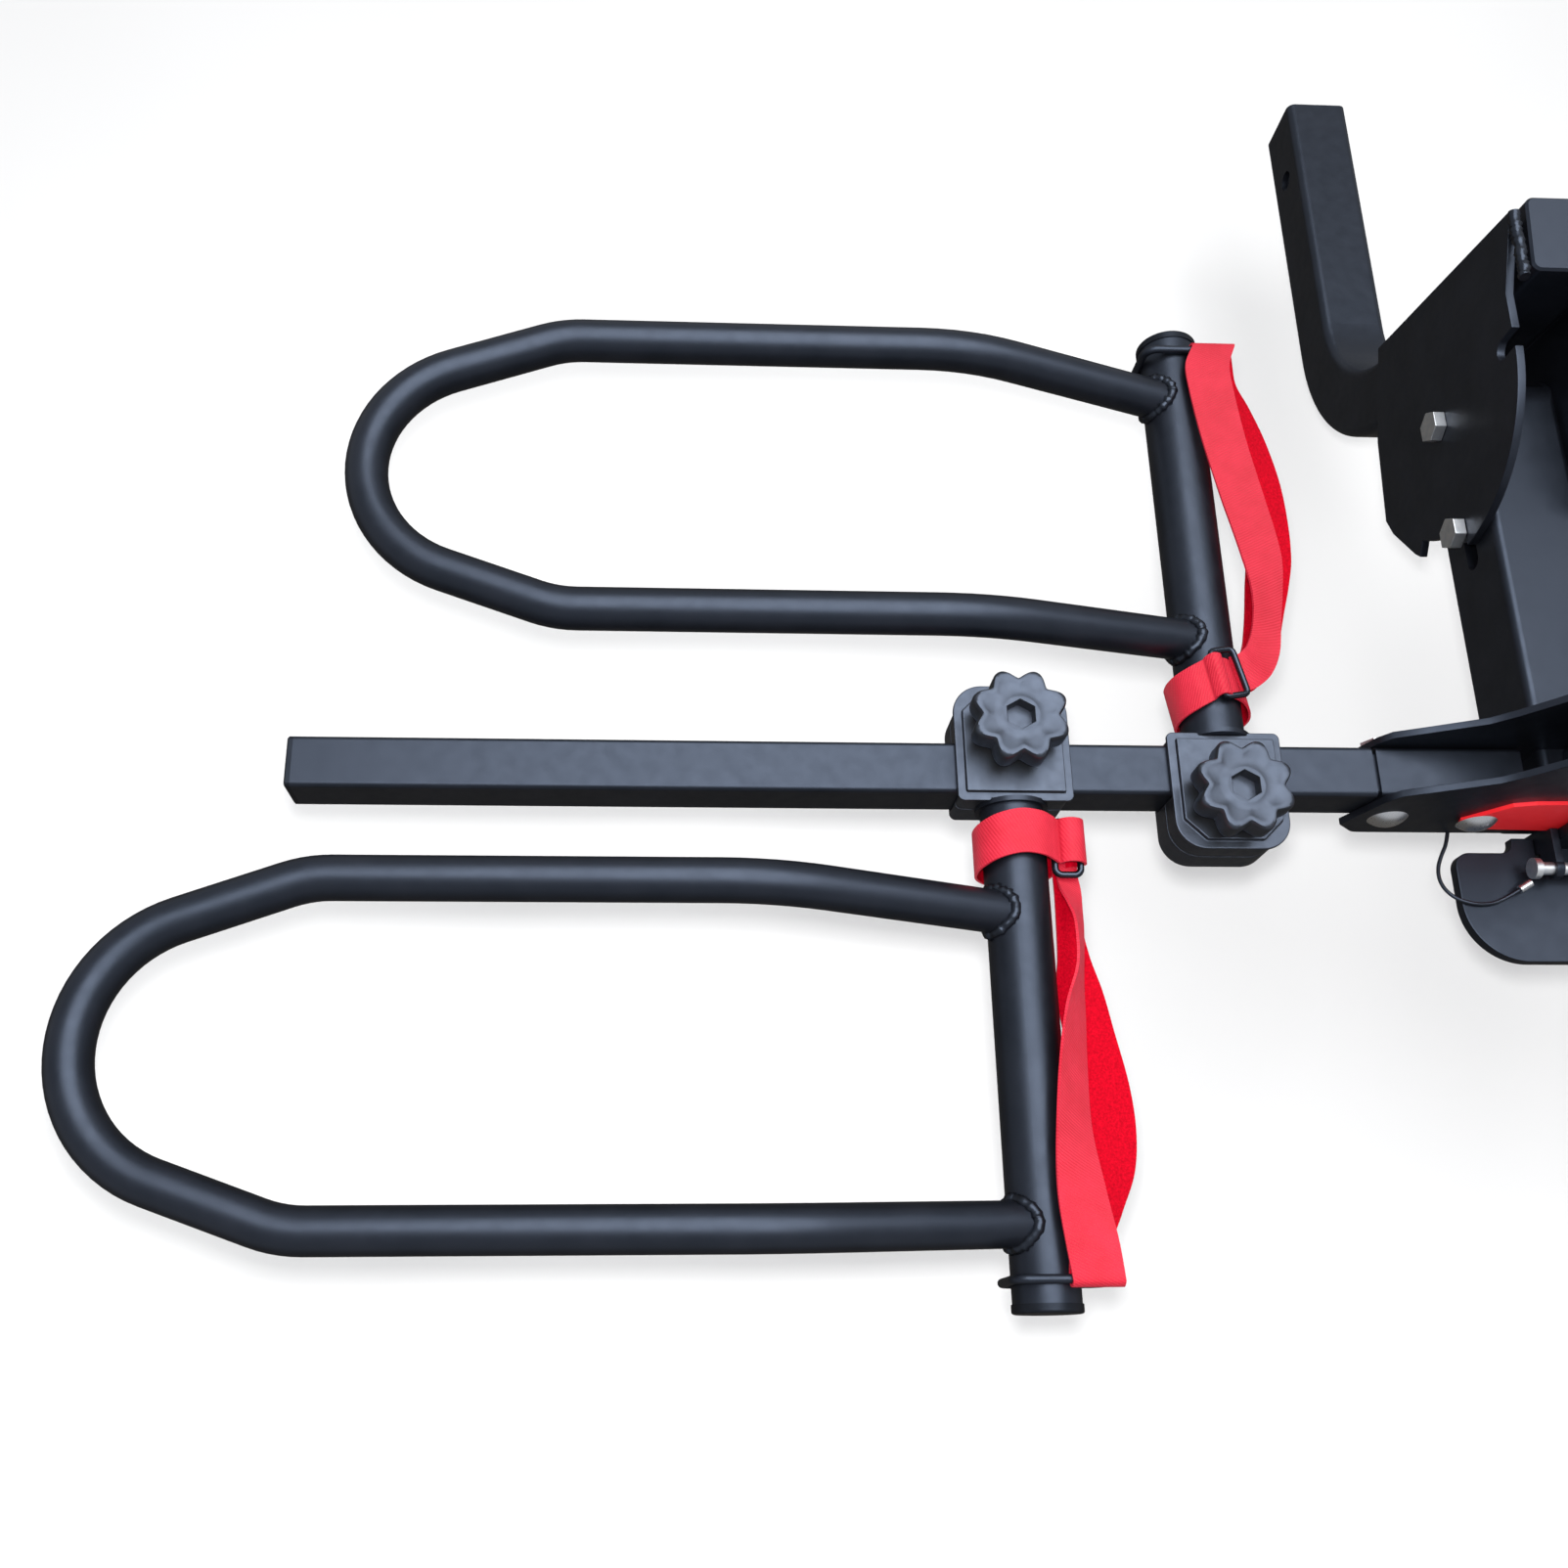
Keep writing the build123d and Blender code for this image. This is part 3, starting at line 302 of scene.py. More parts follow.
nylon = moulded("moulded_glass_filled_nylon", "#131415", "#1b1b1d", 0.4, 0.7, 0.03, gloss=1.0)
polyethylene = moulded("moulded_polyethylene_cap", "#08090b", "#0e0f12", 0.42, 1.2, 0.02,
                       gloss=0.3)
rubber = moulded("moulded_epdm_rubber", "#0d0d0e", "#161616", 0.68, 0.9, 0.06)
vinyl = moulded("extruded_vinyl_cable_cover", "#0a0a0b", "#131314", 0.36, 1.5, 0.01)
wire_enamel = moulded("gloss_enamelled_wire", "#050506", "#0a0a0b", 0.2, 2.0, 0.01)
print(len(bpy.data.materials), "materials so far")

# %% [markdown]
# ## Red webbing
# The strap is polyester tape. Its outer face is a fine twill, seen as slanting ribs crossed by
# yarn, with a faint sheen, and its inner face is a brushed loop pile for the hook closure,
# deeper in colour. The ribs are about 0.8 mm apart on the real tape and are drawn twice as
# coarse so that they show. Their grooves are painted darker and their crests lighter, which is
# painted shade. They follow the tape's own UV map, which is in metres: across the tape, then
# along it.

# %% Make the two faces of the webbing
TWILL_RIB_MM, TWILL_TURN, TWILL_UNEVEN = 1.6, 62, 0.6
YARN_MM, YARN_TURN, YARN_UNEVEN = 0.8, 0, 0.2
WAVE_BAND = 0.314  # distance between two bands of a Wave texture at scale 1
# The first share is the painted shade of the ribs, the second the random patches of tone.
RIB_SHADE_SHARE, PATCH_SHARE = 0.65, 0.35


def ribs(tree, turn_degrees, pitch_mm, unevenness):
    """Parallel ribs, pitch_mm apart, turned within the tape's own coordinates."""
    flat = add_node(tree, "ShaderNodeUVMap", uv_map="tape").outputs["UV"]
    turned = add_node(tree, "ShaderNodeMapping", {
        "Vector": flat, "Rotation": (0, 0, math.radians(turn_degrees))}).outputs["Vector"]
    return add_node(tree, "ShaderNodeTexWave", {
        "Vector": turned, "Scale": WAVE_BAND / (pitch_mm * MM), "Distortion": unevenness,
        "Detail": 1.0, "Detail Scale": 1.0}).outputs["Fac"]


def twill_face():
    """Woven outer face: slanting ribs crossed by yarn, with painted shade in the ribs' grooves.
    """
    made, tree, shader = new_material("polyester_twill_webbing", 0.62, Sheen_Weight=0.2,
                                      Sheen_Roughness=0.4)
    shader.inputs["Sheen Tint"].default_value = hex_colour("#ff5a6e")
    slant = ribs(tree, TWILL_TURN, TWILL_RIB_MM, TWILL_UNEVEN)
    yarn = ribs(tree, YARN_TURN, YARN_MM, YARN_UNEVEN)
    # Painted shade: the colour is darker in the grooves between the ribs and lighter on their
    # crests.
    painted_rib_shade = add_node(tree, "ShaderNodeMapRange", {"Value": slant, "To Max": RIB_SHADE_SHARE})
    patch = mottle(tree, 0.0, PATCH_SHARE, lump_mm=16.0, detail=3.0)
    tone = add_node(tree, "ShaderNodeMath", {0: painted_rib_shade.outputs["Result"], 1: patch},
                    operation="ADD").outputs[0]
    colour = add_node(tree, "ShaderNodeMix", {
        "Factor": tone, COLOUR_A: hex_colour("#99081c"), COLOUR_B: hex_colour("#bb1f36")},
        data_type="RGBA").outputs[COLOUR_RESULT]
    tree.links.new(colour, shader.inputs["Base Color"])
    weave = add_node(tree, "ShaderNodeMath", {0: slant, 1: yarn}, operation="MULTIPLY").outputs[0]
    bump = add_node(tree, "ShaderNodeBump", {"Height": weave, "Distance": 0.4 * MM,
                                             "Strength": 0.8})
    tree.links.new(bump.outputs["Normal"], shader.inputs["Normal"])
    return made


def pile_face():
    """Brushed loop pile of the inner face."""
    made, tree, shader = new_material("brushed_nylon_loop_pile", 0.9, Specular_IOR_Level=0.1)
    colour_drift(tree, shader, "#850010", "#aa0219", lump_mm=1.3, detail=4.0)
    relief(tree, shader, lump_mm=0.9, detail=4.0, depth_mm=0.5, strength=0.8)
    return made


twill, pile = twill_face(), pile_face()
print(twill.name, pile.name)

# %% [markdown]
# ## Finishes for the parts from CAD
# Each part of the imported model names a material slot. A table turns the slot into one of the
# finishes above, so a change there reaches every part. A few parts differ from their slot.

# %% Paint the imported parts
FINISHES = {"black_steel": satin_black, "black_plastic": nylon, "black_wire": wire_enamel,
            "zinc_steel": zinc, "chrome_steel": chrome, "red_paint": red_coat,
            "red_webbing": twill, "rubber": rubber, "cable_black": vinyl}
SPECIAL = {"lanyard_ferrule": aluminium, "tube_plugs": polyethylene, "riser_cap": satin_black}
SPECIAL.update({carrier + "_post_cap": polyethylene for carrier in POSTS})
slot_of = {part["node"]: part["material_slot"] for part in frame["record"]["subparts"]}


def paint(piece, *finishes):
    """Give a piece its materials in place of those it has."""
    piece.data.materials.clear()
    for finish in finishes:
        piece.data.materials.append(finish)


for name, part in nodes.items():
    paint(part, SPECIAL.get(name) or FINISHES[slot_of[name]])
print("painted", len(nodes), "parts")

# %% [markdown]
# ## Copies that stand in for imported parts
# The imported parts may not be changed. Where the render needs more than CAD gives, a copy is
# merged into one skin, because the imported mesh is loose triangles. The copy is then shaped as
# any mesh is, moves with the part's body and stands in for the part.

# %% Helpers that select, merge and stand in
MERGE_DISTANCE = 0.00001


def only(piece):
    """Select one object alone and make it active."""
    bpy.ops.object.select_all(action="DESELECT")
    piece.select_set(True)
    bpy.context.view_layer.objects.active = piece


def body_of(name):
    """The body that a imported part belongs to."""
    return nodes[name]["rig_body"]


def apply_all(piece):
    """Apply the piece's modifiers in order."""
    only(piece)
    for modifier in list(piece.modifiers):
        bpy.ops.object.modifier_apply(modifier=modifier.name)


def merged_copy(name):
    """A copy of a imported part, without its labels, merged into one skin."""
    piece = nodes[name].copy()
    piece.data = nodes[name].data.copy()
    piece.name = "soft_" + name
    for key in list(piece.keys()):
        del piece[key]
    piece.parent = None
    bpy.context.scene.collection.objects.link(piece)
    only(piece)
    bpy.ops.object.mode_set(mode="EDIT")
    bpy.ops.mesh.select_all(action="SELECT")
    bpy.ops.mesh.remove_doubles(threshold=MERGE_DISTANCE)
    bpy.ops.mesh.customdata_custom_splitnormals_clear()
    bpy.ops.object.mode_set(mode="OBJECT")
    return piece


def stand_in(piece, name):
    """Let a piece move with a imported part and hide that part."""
    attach(piece, body_of(name))
    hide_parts(name)


print("points closer than", MERGE_DISTANCE / MM, "mm are merged")

# %% [markdown]
# ## Soft edges on plates, bolts and mouldings
# A machined or moulded edge is never razor sharp: it catches a thin line of light. The flat
# triangles of a merged copy are joined, and a bevel rounds its sharp edges. Smooth shading
# would then bend across the wide flat faces and show as streaks, so normals weighted by face
# area keep them flat, and only the narrow bevels look round.

# %% Round the edges of the parts that show them
FLAT_DEGREES, SHARP_DEGREES, SMOOTH_DEGREES = 0.4, 38.0, 32.0
BEVEL_SEGMENTS = 2
FULL_WEIGHT = 100


def soften(name, width_mm):
    """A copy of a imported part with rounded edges, standing in for it."""
    piece = merged_copy(name)
    bpy.ops.object.mode_set(mode="EDIT")
    bpy.ops.mesh.select_all(action="SELECT")
    bpy.ops.mesh.dissolve_limited(angle_limit=math.radians(FLAT_DEGREES))
    bpy.ops.object.mode_set(mode="OBJECT")
    bevel = piece.modifiers.new("edge", "BEVEL")
    bevel.width = width_mm * MM
    bevel.segments = BEVEL_SEGMENTS
    bevel.limit_method = "ANGLE"
    bevel.angle_limit = math.radians(SHARP_DEGREES)
    bevel.use_clamp_overlap = False
    bevel.miter_outer = "MITER_ARC"
    apply_all(piece)
    bpy.ops.object.shade_smooth_by_angle(angle=math.radians(SMOOTH_DEGREES))
    flat = piece.modifiers.new("flat", "WEIGHTED_NORMAL")
    flat.keep_sharp = True
    flat.weight = FULL_WEIGHT
    apply_all(piece)
    stand_in(piece, name)


SOFT_EDGES = {"tilt_pivot_bolt": 0.6, "lock_bolt": 0.6, "tilt_plate_left": 0.7,
              "tilt_plate_right": 0.7, "bracket_plate_front": 0.6, "bracket_plate_back": 0.6,
              "foot_pedal": 0.8, "pedal_ears": 0.5}
for carrier in POSTS:
    SOFT_EDGES[carrier + "_clamp_block"] = 0.8
    SOFT_EDGES[carrier + "_clamp_lid"] = 0.9
for name, width in SOFT_EDGES.items():
    soften(name, width)
print("softened", len(SOFT_EDGES), "parts")

# %% [markdown]
# ## A shorter keeper
# The wire that keeps the strap's far end reaches only as far as the strap's edge. Its straight
# runs have points at their ends alone, so on a merged copy of the hoop those at the far side
# are drawn in, and the wire stays one smooth bend.

# %% Draw in the keepers
KEEPER_OUT, KEEPER_SHORTER = 294.0, 15.0
KEEPER_BAND = 4  # the wire lies within this distance of its own line, in millimetres
KEEPER_FAR_SIDE = 36  # its far side is farther than this from the post's middle
for carrier, (side, row, x) in POSTS.items():
    hoop = merged_copy(carrier + "_wheel_hoop")
    for point in hoop.data.vertices:
        across = side * x - point.co.x / MM
        along = abs(point.co.y / MM - BEAM_LINE[1])
        if abs(along - KEEPER_OUT) < KEEPER_BAND and side * across > KEEPER_FAR_SIDE:
            point.co.x += side * KEEPER_SHORTER * MM
    bpy.ops.object.shade_smooth_by_angle(angle=math.radians(SMOOTH_DEGREES))
    stand_in(hoop, carrier + "_wheel_hoop")
print("shortened", len(POSTS), "keepers by", KEEPER_SHORTER, "mm")

# %% [markdown]
# ## Star knobs
# The knob is one nylon moulding with eight lobes, a slightly dished top and a hexagonal pocket
# over the bolt. It is modelled once: a circle is extruded ring by ring into a turned shape,
# and each ring's points are then pushed in or out into lobes or a hexagon.

# %% The knob's rings and their outlines
KNOB_RADIUS, KNOB_VALLEY = 29.5, 23.4
KNOB_LOBES, LOBE_ROUNDING = 8, 0.75
HEX_FLATS = 16.0
ROUND, LOBED, HEXAGONAL = 0, 1, -1
# Radius, height and outline: the radius is in millimetres on a round ring, and elsewhere a
# share of the outline's own radius
KNOB_RINGS = [
    (13.0, 0.0, ROUND), (13.0, 7.0, ROUND), (0.80, 7.0, LOBED), (0.955, 7.6, LOBED),
    (0.99, 9.0, LOBED), (1.0, 11.0, LOBED), (1.0, 20.6, LOBED), (0.985, 22.4, LOBED),
    (0.945, 23.7, LOBED), (0.885, 24.0, LOBED), (0.80, 23.6, LOBED), (16.5, 22.9, ROUND),
    (12.6, 22.6, ROUND), (11.4, 23.0, ROUND), (10.6, 23.0, ROUND), (1.05, 22.9, HEXAGONAL),
    (1.0, 22.3, HEXAGONAL), (0.985, 15.0, HEXAGONAL)]


def lobed(angle):
    """The knob's outline: eight round lobes with narrower valleys."""
    wave = (0.5 + 0.5 * math.cos(KNOB_LOBES * angle + math.pi)) ** LOBE_ROUNDING
    return KNOB_VALLEY + (KNOB_RADIUS - KNOB_VALLEY) * wave


def hexagonal(angle):
    """A hexagon's outline."""
    third = math.pi / 3
    return HEX_FLATS / 2 / math.cos((angle + third / 2) % third - third / 2)


def ring_radius(radius, outline, angle):
    """The radius of one point of a ring, in millimetres."""
    if outline == LOBED:
        return radius * lobed(angle)
    return radius * hexagonal(angle) if outline == HEXAGONAL else radius


print(len(KNOB_RINGS), "rings up to", max(height for _, height, _ in KNOB_RINGS), "mm")

# %% Model one knob
RING_POINTS = 144
KNOB_SMOOTH_DEGREES = 40


def model_knob():
    """A knob standing on the origin, its axis up."""
    bpy.ops.object.select_all(action="DESELECT")
    bpy.ops.mesh.primitive_circle_add(vertices=RING_POINTS, radius=KNOB_RINGS[0][0] * MM,
                                      fill_type="NGON", location=(0, 0, 0))
    knob = bpy.context.object
    for radius, height, outline in KNOB_RINGS[1:]:
        bpy.ops.object.mode_set(mode="EDIT")
        bpy.ops.mesh.extrude_region_move(TRANSFORM_OT_translate={"value": (0, 0, MM)})
        bpy.ops.object.mode_set(mode="OBJECT")
        for point in knob.data.vertices:
            if point.select:
                angle = math.atan2(point.co.y, point.co.x)
                out = ring_radius(radius, outline, angle) * MM
                point.co = (out * math.cos(angle), out * math.sin(angle), height * MM)
    bpy.ops.object.mode_set(mode="EDIT")
    bpy.ops.mesh.select_all(action="SELECT")
    bpy.ops.mesh.normals_make_consistent(inside=False)
    bpy.ops.object.mode_set(mode="OBJECT")
    bpy.ops.object.shade_smooth_by_angle(angle=math.radians(KNOB_SMOOTH_DEGREES))
    return knob


knob_pattern = model_knob()
print("one knob with", len(knob_pattern.data.polygons), "faces")

# %% [markdown]
# ## The knobs' seats
# Four knobs stand upright on the carriers' clamps, and two lie on their side at the hooks'
# collars. Each copy gets a mesh of its own, carried to its seat, so that its object stays at
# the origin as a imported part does.

# %% Copy the knob to its seats
BLOCK_TOP, KNOB_Y = 22.5, 21.5
HOOK_HEIGHTS = {"upper_hook": 760.0, "lower_hook": 560.0}
HOOK_COLLAR_HALF = 26.0
seats = {}
for carrier, (side, row, x) in POSTS.items():
    upright = Matrix.Translation(at(side * x, -row * KNOB_Y, BLOCK_TOP))
    seats[carrier + "_star_knob"] = (upright, carrier + "_knob")
for hook, height in HOOK_HEIGHTS.items():
    place = Matrix.Translation(at(HOOK_COLLAR_HALF, 0, height))
    seats[hook + "_knob"] = (place @ Matrix.Rotation(math.pi / 2, 4, "Y"), hook + "_knob_body")
for name, (matrix, body) in seats.items():
    knob = knob_pattern.copy()
    knob.data = knob_pattern.data.copy()
    knob.name = "moulded_" + name
    knob.data.transform(matrix)
    bpy.context.scene.collection.objects.link(knob)
    paint(knob, nylon)
    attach(knob, body)
    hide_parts(name)
bpy.data.objects.remove(knob_pattern)
print("placed", len(seats), "knobs")

# %% [markdown]
# ## Curves that become wires and beads
# A weld bead, a bent ring and a cable are all a line with a round section. Blender draws them
# as a curve with a round bevel, which keeps its section round through every bend, and the
# curve is then made a mesh.

# %% Helpers that draw a curve and thicken it
def draw_curve(name, places, closed=False, kind="POLY"):
    """A curve through places, without thickness yet."""
    data = bpy.data.curves.new(name, "CURVE")
    data.dimensions = "3D"
    line = data.splines.new(kind)
    line.points.add(len(places) - 1)
    line.use_cyclic_u = closed
    for point, place in zip(line.points, places):
        point.co = (*place, 1)
    drawn = bpy.data.objects.new(name, data)
    bpy.context.scene.collection.objects.link(drawn)
    return drawn


def thicken(drawn, radius_mm, rounding, finish):
    """Give a curve a round section and a finish, and make it a mesh."""
    drawn.data.bevel_depth = radius_mm * MM
    drawn.data.bevel_resolution = rounding
    drawn.data.use_fill_caps = True
    only(drawn)
    bpy.ops.object.convert(target="MESH")
    piece = bpy.context.object
    bpy.ops.object.shade_smooth()
    paint(piece, finish)
    return piece


BEAD_ROUNDING, WIRE_ROUNDING = 3, 4
print("a bead has", 2 * BEAD_ROUNDING + 4, "sides, a wire", 2 * WIRE_ROUNDING + 4)

# %% [markdown]
# ## Weld beads
# Where a hoop tube meets its post the bead follows the line in which two round tubes cross,
# like a fish's mouth. Each point of it is found by moving along the hoop tube until it
# touches the post. The bead swells and thins along its line as the puddles of a hand weld do.

# %% Lay the beads round the hoop tubes
POST_R, POST_Z = 18.75, 3.5
RAIL_R, RAIL_Z, RAIL_FOOT_Z = 12.7, 50.0, 6.6
# Each tube's distance out along the post: on its straight run, and at its foot
RAIL_LINES = ((83.0, 89.0), (270.0, 264.0))
RAIL_DROP_END = 145.0
TUBE_LIFT, POST_LIFT = 0.4, 0.5  # the bead's line lies this far off both skins
SADDLE_POINTS = 64
HOOP_BEAD_R = 3.2
PUDDLE_MM, PUDDLE_SWELL = 4.2, 0.12
UNEVEN_SWELL, UNEVEN_MM = 0.14, 0.45
random.seed(11)


def bead(name, points, body, radius_mm, closed=True):
    """A weld bead along points given in millimetres about the beam."""
    places = [at(*p) for p in points]
    shaken, swelling = [], []
    travel = 0.0
    for i, place in enumerate(places):
        travel += (place - places[i - 1]).length / MM if i else 0.0
        swelling.append(PUDDLE_SWELL * math.sin(2 * math.pi * travel / PUDDLE_MM)
                        + random.uniform(-UNEVEN_SWELL, UNEVEN_SWELL))
        shaken.append(place + Vector([random.uniform(-UNEVEN_MM, UNEVEN_MM) * MM
                                      for _ in range(3)]))
    drawn = draw_curve(name, shaken, closed)
    for point, swell in zip(drawn.data.splines[0].points, swelling):
        point.radius = 1.0 + swell
    piece = thicken(drawn, radius_mm, BEAD_ROUNDING, weld_black)
    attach(piece, body)


def saddle(side, row, x, near, foot):
    """The line where a hoop tube meets the post, as points about the beam."""
    start = np.array([0.0, -foot, RAIL_FOOT_Z])
    way = np.array([-RAIL_DROP_END, foot - near, RAIL_Z - RAIL_FOOT_Z])
    way /= np.linalg.norm(way)
    across = np.cross(way, (0, 0, 1.0))
    across /= np.linalg.norm(across)
    high = np.cross(across, way)
    points = []
    for step in range(SADDLE_POINTS):
        turn = 2 * math.pi * step / SADDLE_POINTS
        rim = start + (RAIL_R + TUBE_LIFT) * (math.cos(turn) * across + math.sin(turn) * high)
        flat, run = rim[[0, 2]] - (0, POST_Z), way[[0, 2]]
        a, b, c = run @ run, 2 * flat @ run, flat @ flat - (POST_R + POST_LIFT) ** 2
        reach = (-b + math.sqrt(max(b * b - 4 * a * c, 0.0))) / (2 * a)
        p = rim + reach * way
        points.append((side * x - side * p[0], -row * p[1], p[2]))
    return points


for carrier, (side, row, x) in POSTS.items():
    for number, (near, foot) in enumerate(RAIL_LINES):
        bead(f"{carrier}_hoop_bead_{number + 1}", saddle(side, row, x, near, foot),
             carrier + "_carrier", HOOP_BEAD_R)

# %% [markdown]
# ## The beads of the tilt plates
# Each tilt plate is welded to the riser along its upper edge, where the picture shows a
# short straight bead beside the riser's cap. The same function lays it, on an open line.

# %% Lay the beads that join the tilt plates to the riser
PLATE_BEAD_ENDS = ((297.0, 97.4), (345.0, 99.6))
PLATE_BEAD_X, PLATE_BEAD_R, PLATE_BEAD_POINTS = 33.0, 3.5, 26
for word, side in (("left", -1), ("right", 1)):
    (low_y, low_z), (high_y, high_z) = PLATE_BEAD_ENDS
    line = [(side * PLATE_BEAD_X, low_y + (high_y - low_y) * t, low_z + (high_z - low_z) * t)
            for t in np.linspace(0, 1, PLATE_BEAD_POINTS)]
    bead(word + "_plate_bead", line, body_of("tilt_plate_" + word), PLATE_BEAD_R, closed=False)
print("beads laid on both tilt plates")

# %% [markdown]
# ## Straps
# Each strap is one tape. A slack collar goes round the post and folds over a wire ring, and a
# long loop runs from the ring to the keeper at the post's end. A tape keeps its width while it
# twists, so each station holds a centre, a width and a twist, and a smooth closed curve goes
# through them. The stations were read from the picture, edge by edge.

# %% Where the long loops run
TAPE_WIDTH = 29.0
KEEPER_X, KEEPER_HEIGHT = 22.6, 24.35
KEEPER_TURN, KEEPER_ARC, KEEPER_STATIONS = 3.75, 160, 7
KEEPER_PINCH = 1

# x from the post, distance out along the post, height, width, twist and turn in degrees
FRONT_ROW_LOOP = {
    "ring": [(29, 56, 0.5, 13, -4), (29, 52.5, 2, 13, -4), (29, 51.5, 4.5, 13, -4),
             (29, 52.5, 7, 13, -4), (29, 56, 8.4, 13, -4)],
    "top": [(29, 66, 8.8, 13, -10), (29.4, 74, 11, 15, -24), (30, 86, 16.5, 16, -48),
            (30, 100, 22, 17, -62), (28.6, 124, 22.0, 25, -69), (24.6, 148, 19.5, 29, -56),
            (20.6, 180, 19.5, 29, -46), (17.2, 216, 23.5, 29, -36), (17.6, 250, 27.0, 29, -14),
            (20.4, 275, 28.2, 29, -3)],
    "below": [(23.5, 276, 17.5, 29, -28), (31.0, 258, 12.0, 29, -24), (40.0, 236, 5.5, 29, -10),
              (43.5, 212, 1.0, 29, 0), (42.6, 186, -2.0, 29, 3), (37.4, 156, -3.5, 29, 4),
              (34.0, 132, -3.5, 27, 0), (32.0, 112, -2.5, 20, -8), (30.5, 94, -1.5, 16, -10),
              (29.4, 74, -0.5, 13, -6)],
}
REAR_ROW_LOOP = {
    "ring": [(19, 62, 18.6, 24, 0, -77), (15, 61.3, 19.3, 24, 0, -77),
             (12.6, 60.7, 20.3, 24, 0, -77), (14.2, 61.2, 21.6, 24, 0, -77),
             (18, 62, 21.6, 24, -4, -76)],
    "top": [(22.5, 65, 21.6, 24, -8, -66), (29, 72, 19.4, 23, -12, -46),
            (33.8, 83, 19.4, 22, -16, -24), (36, 98, 21.5, 21, -20, -8),
            (37, 116, 24.4, 24, -20), (36, 138, 26.0, 29, -14), (33.0, 160, 26.0, 29, -7),
            (29.0, 182, 26.0, 29, -4), (21.5, 225, 27.0, 29, -2), (17.2, 262, 28.0, 29, 0),
            (17.0, 280, 28.2, 29, 0)],
    "below": [(27.0, 278, 17.5, 29, -22), (36.0, 262, 12.0, 29, -20), (45.0, 238, 6.0, 29, -10),
              (51.5, 208, 2.0, 29, -2), (53.5, 178, 0.0, 29, 2), (52.0, 152, 0.0, 29, 4),
              (48.0, 132, 1.0, 28, 2), (43.0, 112, 3.0, 25, 0, -4), (38.5, 96, 5.5, 23, 0, -14),
              (33, 82, 9.5, 22, 0, -36), (27, 71.5, 14, 23, 0, -58),
              (21.5, 64.5, 17.4, 24, 0, -72)],
}


def loop_stations(shape):
    """The whole loop: round the ring's bar, along the top, round the keeper and back below."""
    keeper = []
    for step in range(KEEPER_STATIONS):
        angle = math.radians(KEEPER_ARC / 2 - step * KEEPER_ARC / (KEEPER_STATIONS - 1))
        keeper.append((KEEPER_X, KEEPER_OUT + KEEPER_TURN * math.cos(angle),
                       KEEPER_HEIGHT + KEEPER_TURN * math.sin(angle),
                       TAPE_WIDTH - KEEPER_PINCH, 0))
    stations = shape["ring"] + shape["top"] + keeper + shape["below"]
    return [station + (0,) * (6 - len(station)) for station in stations]


print("stations:", len(loop_stations(FRONT_ROW_LOOP)), "and", len(loop_stations(REAR_ROW_LOOP)))

# %% [markdown]
# ## From stations to a tape
# A curve through few stations is smooth, but its points crowd where stations do, and woven ribs
# drawn on it would stretch. So it is spaced evenly along its length before a grid of faces is
# laid across it. A Solidify modifier then gives the grid its thickness and its inner face.

# %% Helpers that smooth a line and weave a tape along it
TAPE_THICK = 1.5
TAPE_ROWS, TAPE_STRIPS = 300, 8
TAPE_SMOOTH_DEGREES = 60


def smooth_closed(rows, count):
    """Points on a smooth closed curve through the rows, as many between each two rows."""
    rows = np.array(rows, float)
    total = len(rows)
    made = []
    for step in range(count):
        where = step * total / count
        i, t = int(where), where - int(where)
        a, b, c, d = (rows[(i + k) % total] for k in (-1, 0, 1, 2))
        made.append(0.5 * (2 * b + (c - a) * t + (2 * a - 5 * b + 4 * c - d) * t ** 2
                           + (3 * b - a - 3 * c + d) * t ** 3))
    return np.array(made)


def evenly(line, edges, count):
    """The same closed line and its edge vectors, evenly spaced, and the line's length."""
    closed = np.vstack([line, line[:1]])
    sides = np.vstack([edges, edges[:1]])
    steps = np.concatenate([[0.0], np.cumsum(np.linalg.norm(np.diff(closed, axis=0), axis=1))])
    marks = np.linspace(0, steps[-1], count + 1)[:-1]
    spaced = [np.array([[np.interp(m, steps, values[:, k]) for k in range(3)] for m in marks])
              for values in (closed, sides)]
    return spaced[0], spaced[1], steps[-1]


